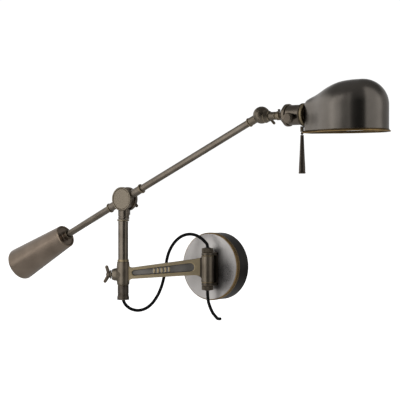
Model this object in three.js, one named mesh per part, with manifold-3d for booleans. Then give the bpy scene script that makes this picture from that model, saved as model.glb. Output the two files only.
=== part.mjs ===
// A counterweighted picture light for a wall: a round canopy, a hinged cast arm, a sliding post,
// and a pivoted boom with a weight at one end and a small hooded lamp at the other.
// Millimetres, +Z up. The origin is the middle of the wall bar's back face; the wall is the plane y = 0
// and the light stands out from it towards -Y.
import * as THREE from 'three';
import { mergeVertices } from 'three/addons/utils/BufferGeometryUtils.js';
import Module from 'manifold-3d';

// ---- driving dimensions ----
const GAP = 0.3; // clearance between pieces that touch

const CANOPY_RADIUS = 64.2;
const CANOPY_DEPTH = 38.5;
const COVER_DEPTH = 9.4; // front cover, from its shoulder to its face
const CANOPY_WALL = 1.8;

const HINGE_X = 9.4; // barrel hinge axis, beside the canopy's centre
const HINGE_Y = -57;
const PIVOT_TUBE_RADIUS = 6;
const CORD_BORE = 3.5; // through the hinge pin and its bushes
const BARREL_TOP = 20;
const BARREL_BOTTOM = -28;
const BARREL_RADIUS = 12.2;
const LUG_THICKNESS = 5.6;

const ARM_LENGTH = 158.5; // hinge axis to post axis
const ARM_HEADING = 217.5; // degrees from +X
const ARM_THICKNESS = 14;
const PANEL_DEPTH = 4;

const CLAMP_TOP = 9.9;
const CLAMP_BOTTOM = -33.3;
const BOSS_Z = -14;

const POST_RADIUS = 9.5;
const POST_TOP = 86;
const POST_END = -33.6; // lower end of the tube, at the ferrule
const FERRULE_END = -61.5;

const PIVOT_Z = 127.8;
const BOOM_Y = -149; // the boom's plane, parallel to the wall
const BOOM_SLOPE = 25.3; // degrees above level, towards the lamp
const WEIGHT_KINK = 0.5; // degrees that the weight's side of the boom is steeper
const DISC_RADIUS = 22.4;
const DISC_THICKNESS = 5.5;
const HUB_RADIUS = 19.5;
const HUB_THICKNESS = 11.4;
const STUB_RADIUS = 7.7;
const STUB_END = 43; // on the lamp's side
const WEIGHT_STUB_END = 37.4;
const SPIGOT_RADIUS = 4.1; // tube ends inside the hub's stubs
const SPIGOT_LENGTH = 8;
const BOLT_RADIUS = 4;

const BOOM_RADIUS = 6.3;
const BOOM_LENGTH = 343.5; // pivot axis to the knuckle's centre
const WEIGHT_START = 164.3; // pivot axis to the weight's small end
const WEIGHT_LENGTH = 136;
const WEIGHT_SMALL = 22.3;
const WEIGHT_LARGE = 32;

const BALL_RADIUS = 15.1;
const HEAD_Z = 272.3; // lamp axis, level and parallel to the wall
const NECK_RADIUS = 7.1;
const NECK_END = 32.2;
const SOCKET_RADIUS = 17.4;
const FLANGE_RADIUS = 19.6;
const CAP_START = 40.5;
const FLANGE_START = 52.5;
const FLANGE_END = 58.3;
const SHELL_END = 84.6;

const HEEL_X = 95.5; // knuckle centre to the shade's heel
const THROAT_RADIUS = 9.6; // way through the fitter rings into the shade
const NOSE_X = 203.7; // knuckle centre to the centre of the round nose
const NOSE_RADIUS = 43.5;
const DOME_Z = 12.2; // dome's centre line above the lamp axis
const RIM_Z = -32.6; // rim's lower edge below the lamp axis
const SHADE_WALL = 1.5;
const RIM_HEIGHT = 4.6;

const HANDLE_X = 83.8;
const HANDLE_END = -101.2; // below the lamp axis
const KNOB_X = 70.5;
const KNOB_Z = -6.6;
const KNOB_BACK = -20; // back of the switch knob, in front of the lamp axis
const KNOB_RADIUS = 9.5;
const CORD_RADIUS = 3;

// Route of the cord's loop: out of the post's foot, round behind the arm, into the barrel's top.
const LOOP_ROUTE = [
  [-116.7, -154, -56.5], [-116.35, -153.5, -60.5], [-115.4, -152.2, -65.6], [-113.2, -148.9, -71.8],
  [-107.6, -141, -79], [-99.7, -130, -82.2], [-91, -119, -79.2], [-83, -110, -70.6], [-74.9, -102.3, -55.2],
  [-69, -97.4, -37.8], [-65.8, -94.7, -22.5], [-63.5, -92.8, -7], [-61.9, -91.6, 7.5],
  [-59.3, -89.8, 21.9], [-54.8, -86.6, 35.3], [-46.8, -81.2, 48.9], [-36.2, -75.2, 58],
  [-23.5, -69.2, 61.4], [-11.8, -64.6, 59.2], [-2.2, -60.8, 53.6], [4.6, -58.5, 47],
  [8.7, -57.2, 42], [9.4, -57, 37.5], [9.4, -57, 33],
];

// Route of the cord's tail: out of the barrel's foot, back to the wall below the canopy.
const TAIL_ROUTE = [
  [9.4, -57, -41], [9.4, -57, -46], [9.6, -57, -52], [9.9, -56.6, -58.4], [9.9, -54.6, -66],
  [9.2, -50, -73.6], [7.6, -43, -81.2], [5.4, -34, -88.6], [2.6, -23, -94.8],
  [0.2, -13.5, -99.6], [-1.4, -7, -101.4], [-1.8, -3, -101.8], [-1.8, 0, -101.8],
];

// ---- materials ----
const finish = (color, roughness, metalness = 1) =>
  new THREE.MeshStandardMaterial({ color, roughness, metalness });

const bronze = finish(0x6b5d4d, 0.42);
const darkBronze = finish(0x4a4038, 0.48);
const paleFace = finish(0x9a938c, 0.4);
const black = finish(0x1c1a18, 0.5);
const shadeBronze = finish(0x565048, 0.4);
const wornBrass = finish(0x8d7a4f, 0.38);
const steel = finish(0x8a8c8e, 0.35);
const insulator = finish(0x15130f, 0.6, 0);
const cordBlack = finish(0x0b0b0c, 0.85, 0);
const glass = finish(0xf4f1e8, 0.1, 0);

// ---- solids ----
const wasm = await Module();
wasm.setup();

function bareGeometry(geometry) {
  const bare = geometry.clone();
  bare.deleteAttribute('normal');
  bare.deleteAttribute('uv');
  return mergeVertices(bare, 1e-4);
}

function toSolid(geometry) {
  const bare = bareGeometry(geometry);
  const vertProperties = new Float32Array(bare.attributes.position.array);
  const triVerts = new Uint32Array(bare.index.array);
  return new wasm.Manifold(new wasm.Mesh({ numProp: 3, vertProperties, triVerts }));
}

function toGeometry(solid) {
  const mesh = solid.getMesh();
  const geometry = new THREE.BufferGeometry();
  geometry.setAttribute('position', new THREE.BufferAttribute(new Float32Array(mesh.vertProperties), 3));
  geometry.setIndex(new THREE.BufferAttribute(new Uint32Array(mesh.triVerts), 1));
  geometry.computeVertexNormals();
  return geometry;
}

function join(...geometries) {
  return toGeometry(geometries.map(toSolid).reduce((a, b) => a.add(b)));
}

function cut(geometry, ...tools) {
  return toGeometry(tools.map(toSolid).reduce((a, b) => a.subtract(b), toSolid(geometry)));
}

function common(a, b) {
  return toGeometry(toSolid(a).intersect(toSolid(b)));
}

// ---- shapes ----
const radians = THREE.MathUtils.degToRad;

function alongAxis(geometry, axis) {
  if (axis === 'x') geometry.rotateZ(-Math.PI / 2);
  if (axis === 'z') geometry.rotateX(Math.PI / 2);
  return geometry;
}

// A turned piece: points are [radius, position along the axis], the outside running up the axis.
function turned(points, axis, segments = 24) {
  const profile = points.map(([radius, along]) => new THREE.Vector2(radius, along));
  return alongAxis(new THREE.LatheGeometry(profile, segments), axis);
}

function rod(radius, from, to, axis, segments = 24) {
  return turned([[0, from], [radius, from], [radius, to], [0, to]], axis, segments);
}

function ring(outer, inner, from, to, axis, segments = 24) {
  const points = [[inner, from], [outer, from], [outer, to], [inner, to], [inner, from]];
  return turned(points, axis, segments);
}

function box(size, centre) {
  return new THREE.BoxGeometry(...size).translate(...centre);
}

// A slab whose outline lies in the XZ plane, centred on y = 0.
function slab(shape, thickness, curveSegments = 8) {
  const options = { depth: thickness, bevelEnabled: false, curveSegments };
  return new THREE.ExtrudeGeometry(shape, options).rotateX(Math.PI / 2).translate(0, thickness / 2, 0);
}

// A plate whose outline lies in the XY plane, from one height up.
function plate(shape, from, thickness, curveSegments = 12) {
  const options = { depth: thickness, bevelEnabled: false, curveSegments };
  return new THREE.ExtrudeGeometry(shape, options).translate(0, 0, from);
}

function cordTube(route, steps, sides) {
  const section = new THREE.Shape();
  section.absarc(0, 0, CORD_RADIUS, 0, 2 * Math.PI);
  const path = new THREE.CatmullRomCurve3(route.map((p) => new THREE.Vector3(...p)));
  const options = { steps, extrudePath: path, curveSegments: sides, bevelEnabled: false };
  return new THREE.ExtrudeGeometry(section, options);
}

function add(group, name, geometry, material) {
  const mesh = new THREE.Mesh(geometry, material);
  mesh.name = name;
  group.add(mesh);
}

function subgroup(parent, x, y, z) {
  const group = new THREE.Group();
  group.position.set(x, y, z);
  parent.add(group);
  return group;
}

const light = new THREE.Group();

// ---- canopy: wall bar, drum and front cover ----
function wallBar() {
  const halfHeight = 60.1;
  const tabDepth = 14;
  const bar = box([18, 3, 2 * halfHeight], [0, -1.5, 0]);
  const tabs = [-1, 1].map((side) => box([18, tabDepth, 2.4], [0, -tabDepth / 2, side * (halfHeight - 1.2)]));
  const slots = [-1, 1].map((side) => box([4.6, 8, 12], [0, -1.5, side * 41]));
  return cut(join(bar, ...tabs), ...slots);
}

function canopyDrum() {
  const depth = CANOPY_DEPTH - COVER_DEPTH - GAP;
  const inner = CANOPY_RADIUS - 0.6 - CANOPY_WALL;
  const wall = ring(CANOPY_RADIUS - 0.6, inner, -depth, 0, 'y', 44);
  const screwHoles = rod(2.4, -CANOPY_RADIUS - 1, CANOPY_RADIUS + 1, 'z', 10).translate(0, -9, 0);
  return cut(wall, screwHoles);
}

function canopyCover() {
  const back = -(CANOPY_DEPTH - COVER_DEPTH);
  const front = -CANOPY_DEPTH;
  const lip = CANOPY_RADIUS - 0.6 - CANOPY_WALL - 0.4;
  const outside = [
    [0, front], [CANOPY_RADIUS - 2.4, front], [CANOPY_RADIUS - 0.7, front + 0.7],
    [CANOPY_RADIUS, front + 2.4], [CANOPY_RADIUS, back],
  ];
  const inside = [
    [lip, back], [lip, back + 7], [lip - 1.5, back + 7], [lip - 1.5, front + 2.2], [0, front + 2.2],
  ];
  const cover = turned([...outside, ...inside], 'y', 44);
  const stubHole = rod(5.4, -CANOPY_DEPTH - 1, -CANOPY_DEPTH + 4, 'y', 12).translate(HINGE_X, 0, hingeMiddle);
  return cut(cover, stubHole);
}

function canopyScrew(side) {
  const head = rod(2.1, 60.1 + GAP, CANOPY_RADIUS - 0.8, 'z', 10);
  return (side > 0 ? head : head.rotateX(Math.PI)).translate(0, -9, 0);
}

const hingeMiddle = (BARREL_TOP + BARREL_BOTTOM) / 2;

add(light, 'wall_bar', wallBar(), steel);
add(light, 'canopy_drum', canopyDrum(), black);
add(light, 'canopy_cover', canopyCover(), paleFace);
add(light, 'canopy_screw_top', canopyScrew(1), steel);
add(light, 'canopy_screw_bottom', canopyScrew(-1), steel);

// ---- yoke and hinge pin ----
const hinge = subgroup(light, HINGE_X, HINGE_Y, 0);
const faceY = -CANOPY_DEPTH - HINGE_Y; // canopy face, seen from the hinge axis
const WASHER = 0.9;
const topLug = BARREL_TOP + WASHER + 2 * GAP;
const bottomLug = BARREL_BOTTOM - WASHER - 2 * GAP;
const nutTop = topLug + LUG_THICKNESS + GAP;
const nutBottom = bottomLug - LUG_THICKNESS - GAP;
const NUT_HEIGHT = 8;

function yoke() {
  const lug = new THREE.Shape();
  lug.moveTo(-BARREL_RADIUS + 0.8, faceY - GAP);
  lug.lineTo(-BARREL_RADIUS + 0.8, 0);
  lug.absarc(0, 0, BARREL_RADIUS - 0.8, Math.PI, 2 * Math.PI, false);
  lug.lineTo(BARREL_RADIUS - 0.8, faceY - GAP);
  lug.closePath();
  const pinHole = new THREE.Path();
  pinHole.absarc(0, 0, PIVOT_TUBE_RADIUS + GAP, 0, 2 * Math.PI, true);
  lug.holes.push(pinHole);
  const upper = plate(lug, topLug, LUG_THICKNESS);
  const lower = plate(lug, bottomLug - LUG_THICKNESS, LUG_THICKNESS);
  const height = topLug - bottomLug + 2 * LUG_THICKNESS;
  const backThickness = 4.6;
  const back = box(
    [2 * BARREL_RADIUS - 1.6, backThickness, height],
    [0, faceY - GAP - backThickness / 2, (topLug + bottomLug) / 2],
  );
  const stub = rod(5, faceY - GAP - 2, faceY + 9, 'y', 12).translate(0, 0, hingeMiddle);
  return join(upper, lower, back, stub);
}

function hexNut() {
  const nut = cut(rod(9.2, 0, 4.6, 'y', 6), rod(5 + GAP, -1, 6, 'y', 16));
  return nut.translate(0, faceY + 2.6, hingeMiddle);
}

function knurledNut(from) {
  const middle = from + NUT_HEIGHT / 2;
  const half = NUT_HEIGHT / 2;
  const bore = PIVOT_TUBE_RADIUS + GAP;
  const points = [
    [bore, middle - half], [10.2, middle - half], [11, middle - half + 0.8],
    [11, middle + half - 0.8], [10.2, middle + half], [bore, middle + half], [bore, middle - half],
  ];
  return turned(points, 'z', 24);
}

function cordBush(from, direction) {
  const flange = 1.4;
  const shank = 3;
  const tip = from + direction * flange;
  const root = from - direction * shank;
  const shankRadius = PIVOT_TUBE_RADIUS - 1;
  const outline = [
    [CORD_BORE, root], [shankRadius, root], [shankRadius, from], [PIVOT_TUBE_RADIUS - 0.2, from],
    [PIVOT_TUBE_RADIUS - 0.8, tip], [CORD_BORE, tip], [CORD_BORE, root],
  ];
  return turned(direction > 0 ? outline : outline.reverse(), 'z', 14);
}

function pivotTube() {
  const seat = PIVOT_TUBE_RADIUS - 1 + GAP; // counterbore for each bush
  const top = nutTop + NUT_HEIGHT - 0.4;
  const bottom = nutBottom - NUT_HEIGHT + 0.4;
  const points = [
    [seat, bottom], [PIVOT_TUBE_RADIUS, bottom], [PIVOT_TUBE_RADIUS, top], [seat, top], [seat, top - 4],
    [CORD_BORE, top - 4], [CORD_BORE, bottom + 4], [seat, bottom + 4], [seat, bottom],
  ];
  return turned(points, 'z', 18);
}

const washer = (from) => ring(BARREL_RADIUS - 0.4, PIVOT_TUBE_RADIUS + GAP, from, from + WASHER, 'z');
const bushTop = nutTop + NUT_HEIGHT - 0.4 + GAP;
const bushBottom = nutBottom - NUT_HEIGHT + 0.4 - GAP;

add(hinge, 'yoke', yoke(), darkBronze);
add(hinge, 'yoke_nut', hexNut(), steel);
add(hinge, 'pivot_tube', pivotTube(), steel);
add(hinge, 'pivot_nut_top', knurledNut(nutTop), darkBronze);
add(hinge, 'pivot_nut_bottom', knurledNut(nutBottom - NUT_HEIGHT), darkBronze);
add(hinge, 'pivot_washer_top', washer(BARREL_TOP + GAP), wornBrass);
add(hinge, 'pivot_washer_bottom', washer(BARREL_BOTTOM - GAP - WASHER), wornBrass);
add(hinge, 'cord_bush_top', cordBush(bushTop, 1), insulator);
add(hinge, 'cord_bush_bottom', cordBush(bushBottom, -1), insulator);
add(light, 'cord_tail', cordTube(TAIL_ROUTE, 12, 4), cordBlack);

// ---- swing arm, in a frame whose +X runs from the hinge to the post ----
const arm = subgroup(light, HINGE_X, HINGE_Y, 0);
arm.rotation.z = radians(ARM_HEADING);

const BEAM_START = 24;
const BEAM_END = 141;
const topEdge = (x) => 15.1 - 0.136 * (x - BEAM_START);
const bottomEdge = (x) => -15.1 - 0.06 * (x - BEAM_START);

function beamOutline() {
  const shape = new THREE.Shape();
  shape.moveTo(8, BARREL_TOP - 1.5);
  shape.quadraticCurveTo(14, topEdge(14) + 1, BEAM_START, topEdge(BEAM_START));
  shape.lineTo(BEAM_END, topEdge(BEAM_END));
  shape.quadraticCurveTo(147, topEdge(147) + 0.5, 149.5, 5.5);
  shape.lineTo(152, 5.5);
  shape.lineTo(152, -29.5);
  shape.lineTo(149.5, -29.5);
  shape.quadraticCurveTo(147, bottomEdge(147) - 0.5, BEAM_END, bottomEdge(BEAM_END));
  shape.lineTo(BEAM_START, bottomEdge(BEAM_START));
  shape.quadraticCurveTo(14, bottomEdge(14) - 1.5, 8, BARREL_BOTTOM + 2.5);
  shape.closePath();
  return shape;
}

function panelOutline() {
  const from = 33;
  const to = 137;
  const middle = (x) => (topEdge(x) + bottomEdge(x)) / 2 + 0.4;
  const half = (x) => 8.4 - 0.028 * (x - BEAM_START);
  const shape = new THREE.Shape();
  shape.moveTo(from, middle(from) - half(from));
  shape.lineTo(to, middle(to) - half(to));
  shape.absarc(to, middle(to), half(to), -Math.PI / 2, Math.PI / 2, false);
  shape.lineTo(from, middle(from) + half(from));
  shape.absarc(from, middle(from), half(from), Math.PI / 2, 1.5 * Math.PI, false);
  return shape;
}

function reliefBars() {
  const bars = [];
  for (let i = 0; i < 5; i += 1) {
    const x = 72 + 7 * i;
    const z = (topEdge(x) + bottomEdge(x)) / 2 + 0.4;
    bars.push(box([2.6, ARM_THICKNESS - 2 * PANEL_DEPTH + 4, 8], [x, 0, z]));
  }
  return bars;
}

function swingArm() {
  const barrel = rod(BARREL_RADIUS, BARREL_BOTTOM, BARREL_TOP, 'z', 24);
  const middle = (CLAMP_TOP + CLAMP_BOTTOM) / 2;
  const clampOutline = [
    [0, CLAMP_BOTTOM], [11.5, CLAMP_BOTTOM], [12.4, middle - 10], [12.8, middle],
    [12.4, middle + 10], [11.5, CLAMP_TOP], [0, CLAMP_TOP],
  ];
  const clamp = turned(clampOutline, 'z', 24).translate(ARM_LENGTH, 0, 0);
  const bossOutline = [[0, 0], [11.9, 0], [11.9, 13], [11.3, 17.6], [9.6, 21.2], [0, 21.2]];
  const boss = turned(bossOutline, 'x', 20).translate(ARM_LENGTH, 0, BOSS_Z);
  const beam = slab(beamOutline(), ARM_THICKNESS);
  const panel = slab(panelOutline(), PANEL_DEPTH + 1);
  const offset = (ARM_THICKNESS + 1) / 2 - PANEL_DEPTH / 2;
  const panels = [-1, 1].map((side) => panel.clone().translate(0, side * offset, 0));
  const pivotBore = rod(8.1, BARREL_BOTTOM - 1, BARREL_TOP + 1, 'z');
  const postBore = rod(POST_RADIUS + GAP, CLAMP_BOTTOM - 1, CLAMP_TOP + 1, 'z').translate(ARM_LENGTH, 0, 0);
  const screwBore = rod(3.4, 0, 24, 'x', 12).translate(ARM_LENGTH, 0, BOSS_Z);
  const casting = cut(join(barrel, clamp, boss, beam), ...panels, pivotBore, postBore, screwBore);
  return join(casting, ...reliefBars());
}

function wingShape(span, root, tip) {
  const shape = new THREE.Shape();
  shape.moveTo(-root, 0);
  shape.lineTo(-tip, span - tip);
  shape.absarc(0, span - tip, tip, Math.PI, 0, true);
  shape.lineTo(root, 0);
  shape.closePath();
  return shape;
}

// A thumb screw along +X: shank, hub with a rounded end, and two wings splayed towards the end.
function thumbScrew({ shank, shankLength, flange, hub, hubLength, span, splays }) {
  const start = shankLength;
  const outline = [
    [0, 0], [shank, 0], [shank, start], [flange, start + 0.6], [hub, start + 3.4], [hub, start + hubLength * 0.6],
    [hub * 0.7, start + hubLength * 0.9], [0, start + hubLength],
  ];
  const screw = turned(outline, 'x', 16);
  const wings = splays.map((splay, i) => {
    const wing = slab(wingShape(span, hub * 0.65, 3.1), 3.6, 5).rotateY(radians(splay));
    return wing.rotateX(i * Math.PI).translate(start + hubLength * 0.42, 0, 0);
  });
  return join(screw, ...wings);
}

add(arm, 'swing_arm', swingArm(), bronze);
const armBush = (from) => ring(7.8, PIVOT_TUBE_RADIUS + GAP, from, from + 10, 'z', 18);
const felt = ring(10.7, POST_RADIUS + GAP, CLAMP_TOP + GAP, CLAMP_TOP + 4.2, 'z').translate(ARM_LENGTH, 0, 0);
const pad = rod(3, POST_RADIUS + GAP, POST_RADIUS + 2.4, 'x', 12).translate(ARM_LENGTH, 0, BOSS_Z);

add(arm, 'arm_bush_upper', armBush(BARREL_TOP - 11), wornBrass);
add(arm, 'arm_bush_lower', armBush(BARREL_BOTTOM + 1), wornBrass);
add(arm, 'clamp_felt', felt, wornBrass);
add(arm, 'clamp_pad', pad, wornBrass);

const wingScrew = thumbScrew({
  shank: 2.9, shankLength: 9.6, flange: 9, hub: 5.6, hubLength: 10.5, span: 18, splays: [18, 31],
});
wingScrew.translate(ARM_LENGTH + POST_RADIUS + 2.8, 0, BOSS_Z);
add(arm, 'wing_screw', wingScrew, darkBronze);
add(light, 'cord_loop', cordTube(LOOP_ROUTE, 34, 4), cordBlack);

// ---- post, sliding in the clamp ----
const postX = HINGE_X + ARM_LENGTH * Math.cos(radians(ARM_HEADING));
const postY = HINGE_Y + ARM_LENGTH * Math.sin(radians(ARM_HEADING));
const post = subgroup(light, postX, postY, 0);

const FOOT_BORE = 5.6; // cord's way through the ferrule

function ferrule() {
  const spigot = POST_RADIUS - 1.5 - GAP;
  const top = POST_END - GAP;
  const points = [
    [FOOT_BORE, FERRULE_END], [10.8, FERRULE_END], [11.3, FERRULE_END + 0.8], [11.3, FERRULE_END + 5],
    [10.4, FERRULE_END + 8], [10.4, top], [spigot, top], [spigot, top + 9], [FOOT_BORE, top + 9],
    [FOOT_BORE, FERRULE_END],
  ];
  return turned(points, 'z', 22);
}

function footBush() {
  return ring(FOOT_BORE - GAP, 3.9, FERRULE_END + 0.6, FERRULE_END + 5, 'z', 16);
}

function postRing() {
  const points = [
    [POST_RADIUS - 3, POST_TOP + GAP], [10.6, POST_TOP + GAP], [11.35, POST_TOP + 1.1], [11.35, POST_TOP + 3],
    [10.6, POST_TOP + 3.8], [POST_RADIUS - 3, POST_TOP + 3.8], [POST_RADIUS - 3, POST_TOP + GAP],
  ];
  return turned(points, 'z', 24);
}

add(post, 'post_tube', ring(POST_RADIUS, POST_RADIUS - 1.5, POST_END, POST_TOP, 'z'), bronze);
add(post, 'post_ferrule', ferrule(), bronze);
add(post, 'post_cord_bush', footBush(), insulator);
add(post, 'post_ring', postRing(), wornBrass);

// ---- pivot head on the post, with the boom turning between its cheek and the front disc ----
const pivot = subgroup(light, postX, BOOM_Y, PIVOT_Z);
const neckY = postY - BOOM_Y; // the post stands a little in front of the boom's plane
const cheekBack = HUB_THICKNESS / 2 + GAP + DISC_THICKNESS;
const discFront = -(HUB_THICKNESS / 2 + GAP + DISC_THICKNESS);

function postHead() {
  const bottom = POST_TOP + 4.1 - PIVOT_Z;
  const top = 4 - DISC_RADIUS;
  const lean = 1.8; // the neck stands this far behind the post's axis, nearer to the boom's plane
  const neck = rod(10.6, bottom, top, 'z', 24).translate(0, neckY + lean, 0);
  const spigot = rod(6, bottom - 12, bottom + 1, 'z', 14).translate(0, neckY, 0);
  const cheekFront = HUB_THICKNESS / 2 + GAP;
  const cheek = ring(DISC_RADIUS, BOLT_RADIUS + 0.4, cheekFront, cheekBack, 'y', 28);
  const bridge = box([9, 13, 9], [0, cheekBack - 6.5, -DISC_RADIUS - 3.1]);
  const hubRoom = rod(HUB_RADIUS + 0.6, -HUB_THICKNESS / 2 - GAP, cheekFront, 'y', 28);
  const discRoom = rod(DISC_RADIUS + GAP, 2 * discFront, -HUB_THICKNESS / 2, 'y', 28);
  return join(cut(join(neck, bridge), hubRoom, discRoom), cheek, spigot);
}

function pivotDisc() {
  const back = discFront + DISC_THICKNESS;
  const points = [
    [0, discFront + 0.7], [19.2, discFront + 0.7], [19.8, discFront], [20.6, discFront],
    [21.9, discFront + 1], [DISC_RADIUS, discFront + 2.6], [DISC_RADIUS, back], [0, back],
  ];
  return turned(points, 'y', 28);
}

add(pivot, 'post_head', postHead(), bronze);
add(pivot, 'pivot_disc', pivotDisc(), bronze);
add(pivot, 'pivot_bolt', rod(BOLT_RADIUS, discFront + DISC_THICKNESS + GAP, cheekBack + 11, 'y', 16), steel);

function pivotWingNut() {
  const start = cheekBack + GAP;
  const points = [[4.4, start], [8, start], [6.4, start + 8], [4.4, start + 8], [4.4, start]];
  const hub = turned(points, 'y', 16);
  const wings = [1, -1].map((side) => {
    const wing = slab(wingShape(21, 4.4, 3.2), 3.2, 6).rotateZ(radians(90)).rotateX(radians(-16));
    wing.rotateY(side > 0 ? 0 : Math.PI);
    return wing.translate(0, start + 4.6, 0);
  });
  const bore = rod(4.4, start - 1, start + 30, 'y', 16);
  return cut(join(hub, ...wings), bore).rotateY(radians(138));
}

add(pivot, 'pivot_wing_nut', pivotWingNut(), darkBronze);

// ---- boom, in a frame whose +X runs from the pivot to the knuckle ----
const boom = subgroup(pivot, 0, 0, 0);
boom.rotation.y = radians(-BOOM_SLOPE);

function boomHub() {
  const disc = rod(HUB_RADIUS, -HUB_THICKNESS / 2, HUB_THICKNESS / 2, 'y', 30);
  const bore = rod(BOLT_RADIUS + GAP, -HUB_THICKNESS, HUB_THICKNESS, 'y', 16);
  const sides = [[STUB_END, 0], [WEIGHT_STUB_END, Math.PI - radians(WEIGHT_KINK)]];
  const eachSide = (shape) => sides.map(([end, turn]) => shape(end).rotateY(turn));
  const necks = eachSide((end) => rod(HUB_THICKNESS / 2 - 0.1, 12, end - 3, 'x', 16));
  const stubs = eachSide((end) => rod(STUB_RADIUS, DISC_RADIUS + 0.8, end, 'x', 20));
  const sockets = eachSide((end) => rod(SPIGOT_RADIUS + GAP, end - SPIGOT_LENGTH - 3, end + 1, 'x', 14));
  return cut(join(disc, ...necks, ...stubs), bore, ...sockets);
}

function collar(from, length, outer) {
  const edge = 0.7;
  const bore = SPIGOT_RADIUS + GAP;
  const points = [
    [bore, from], [outer - edge, from], [outer, from + edge], [outer, from + length - edge],
    [outer - edge, from + length], [bore, from + length], [bore, from],
  ];
  return turned(points, 'x', 20);
}

const RING_LENGTH = 3.2;
const afterRing = 2 * GAP + RING_LENGTH;
const endRing = BOOM_LENGTH - 30;

function weightRod() {
  const from = -(WEIGHT_START + 40);
  const shoulder = -WEIGHT_STUB_END - afterRing;
  const spigotEnd = -WEIGHT_STUB_END + SPIGOT_LENGTH;
  const outline = [
    [0, from], [BOOM_RADIUS, from], [BOOM_RADIUS, shoulder], [SPIGOT_RADIUS, shoulder],
    [SPIGOT_RADIUS, spigotEnd], [0, spigotEnd],
  ];
  return turned(outline, 'x', 16);
}

function boomTube() {
  const bore = 2.8;
  const spigotStart = STUB_END - SPIGOT_LENGTH;
  const shoulder = STUB_END + afterRing;
  const to = endRing - GAP;
  const points = [
    [bore, spigotStart], [SPIGOT_RADIUS, spigotStart], [SPIGOT_RADIUS, shoulder], [BOOM_RADIUS, shoulder],
    [BOOM_RADIUS, to], [bore, to], [bore, spigotStart],
  ];
  return turned(points, 'x', 16);
}

function counterweight() {
  const small = -WEIGHT_START;
  const large = -(WEIGHT_START + WEIGHT_LENGTH);
  const bore = BOOM_RADIUS + GAP;
  const wall = 3;
  const outside = [
    [0, large], [WEIGHT_LARGE - 3.2, large], [WEIGHT_LARGE - 0.9, large + 0.9], [WEIGHT_LARGE, large + 3.4],
    [WEIGHT_SMALL, small - 1], [WEIGHT_SMALL - 1, small], [WEIGHT_SMALL - 2.6, small - 1.2], [8, small - 1.2],
    [8, small + 6], [bore, small + 6],
  ];
  const inside = [
    [bore, small - 4], [WEIGHT_SMALL - wall, small - 4], [WEIGHT_LARGE - wall, large + 6], [0, large + 6],
  ];
  return turned([...outside, ...inside], 'x', 28);
}

// The slug fills the wide half of the weight's shell and balances the lamp.
function weightSlug() {
  const from = -(WEIGHT_START + WEIGHT_LENGTH - 12);
  const to = -(WEIGHT_START + 62);
  const clearance = 3.6;
  const taper = (WEIGHT_LARGE - WEIGHT_SMALL) / WEIGHT_LENGTH;
  const radius = (x) => WEIGHT_SMALL + taper * (-x - WEIGHT_START) - clearance;
  return turned([[0, from], [radius(from), from], [radius(to), to], [0, to]], 'x', 22);
}

const plainRing = (outer, inner, from, length) => ring(outer, inner, from, from + length, 'x', 20);
const weightSide = subgroup(boom, 0, 0, 0);
weightSide.rotation.y = radians(-WEIGHT_KINK);

add(boom, 'boom_hub', boomHub(), bronze);
add(boom, 'boom_ring_lamp', collar(STUB_END + GAP, RING_LENGTH, 9.2), wornBrass);
add(boom, 'boom_tube', boomTube(), bronze);
add(boom, 'boom_ring_end', plainRing(8.3, 3.4, endRing, RING_LENGTH), wornBrass);
add(weightSide, 'boom_ring_weight', collar(-WEIGHT_STUB_END - GAP - RING_LENGTH, RING_LENGTH, 9.2), wornBrass);
add(weightSide, 'weight_rod', weightRod(), bronze);
add(weightSide, 'weight_lock_ring', plainRing(9.8, BOOM_RADIUS + GAP, -WEIGHT_START + 6.6, 3), darkBronze);
add(weightSide, 'counterweight', counterweight(), bronze);
add(weightSide, 'counterweight_slug', weightSlug(), steel);

// ---- knuckle: two half balls, the far one on the boom, the near one on the lamp's neck ----
const ball = (radius) => new THREE.SphereGeometry(radius, 22, 12);
const halfSpace = (side) => box([60, 40, 60], [0, side * (20 + GAP / 2), 0]);
const CLEARANCE = 0.5; // between one half's ball and the other half's stem

function knuckleBase() {
  const stemStart = endRing + RING_LENGTH + GAP - BOOM_LENGTH;
  const stem = rod(7.4, stemStart, -6, 'x', 18);
  const nearRoom = common(ball(BALL_RADIUS + CLEARANCE), box([60, 40, 60], [0, -20 + GAP / 2, 0]));
  const bore = rod(3, -20, 20, 'y', 12);
  return cut(join(common(ball(BALL_RADIUS), halfSpace(1)), cut(stem, nearRoom)), bore);
}

const knuckleOnBoom = subgroup(boom, BOOM_LENGTH, 0, 0);
add(knuckleOnBoom, 'knuckle_base', knuckleBase(), bronze);

const ballX = postX + BOOM_LENGTH * Math.cos(radians(BOOM_SLOPE));
const ballZ = PIVOT_Z + BOOM_LENGTH * Math.sin(radians(BOOM_SLOPE));
const knuckle = subgroup(light, ballX, BOOM_Y, ballZ);
const NECK_DROP = HEAD_Z - ballZ;

function knuckleSwivel() {
  const hood = [[0, 9], [12, 9], [9.7, 15], [8.6, 17.6], [NECK_RADIUS, 17.6], [NECK_RADIUS, 30]];
  const groove = [[6.4, 30.3], [6.4, 31.1], [NECK_RADIUS, 31.4], [NECK_RADIUS, NECK_END]];
  const spigot = [[5, NECK_END], [5, NECK_END + 14.6], [0, NECK_END + 14.6]];
  const neck = turned([...hood, ...groove, ...spigot], 'x', 22).translate(0, 0, NECK_DROP);
  const root = rod(6, 2, 10, 'x', 14).translate(0, 0, NECK_DROP);
  const farRoom = common(ball(BALL_RADIUS + CLEARANCE), box([60, 40, 60], [0, 20 - GAP / 2, 0]));
  const wireBore = rod(2.6, 20, 48, 'x', 10).translate(0, 0, NECK_DROP);
  const half = common(ball(BALL_RADIUS), halfSpace(-1));
  return cut(join(half, cut(join(neck, root), farRoom)), wireBore, rod(2.6, -20, 5, 'y', 12));
}

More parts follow.
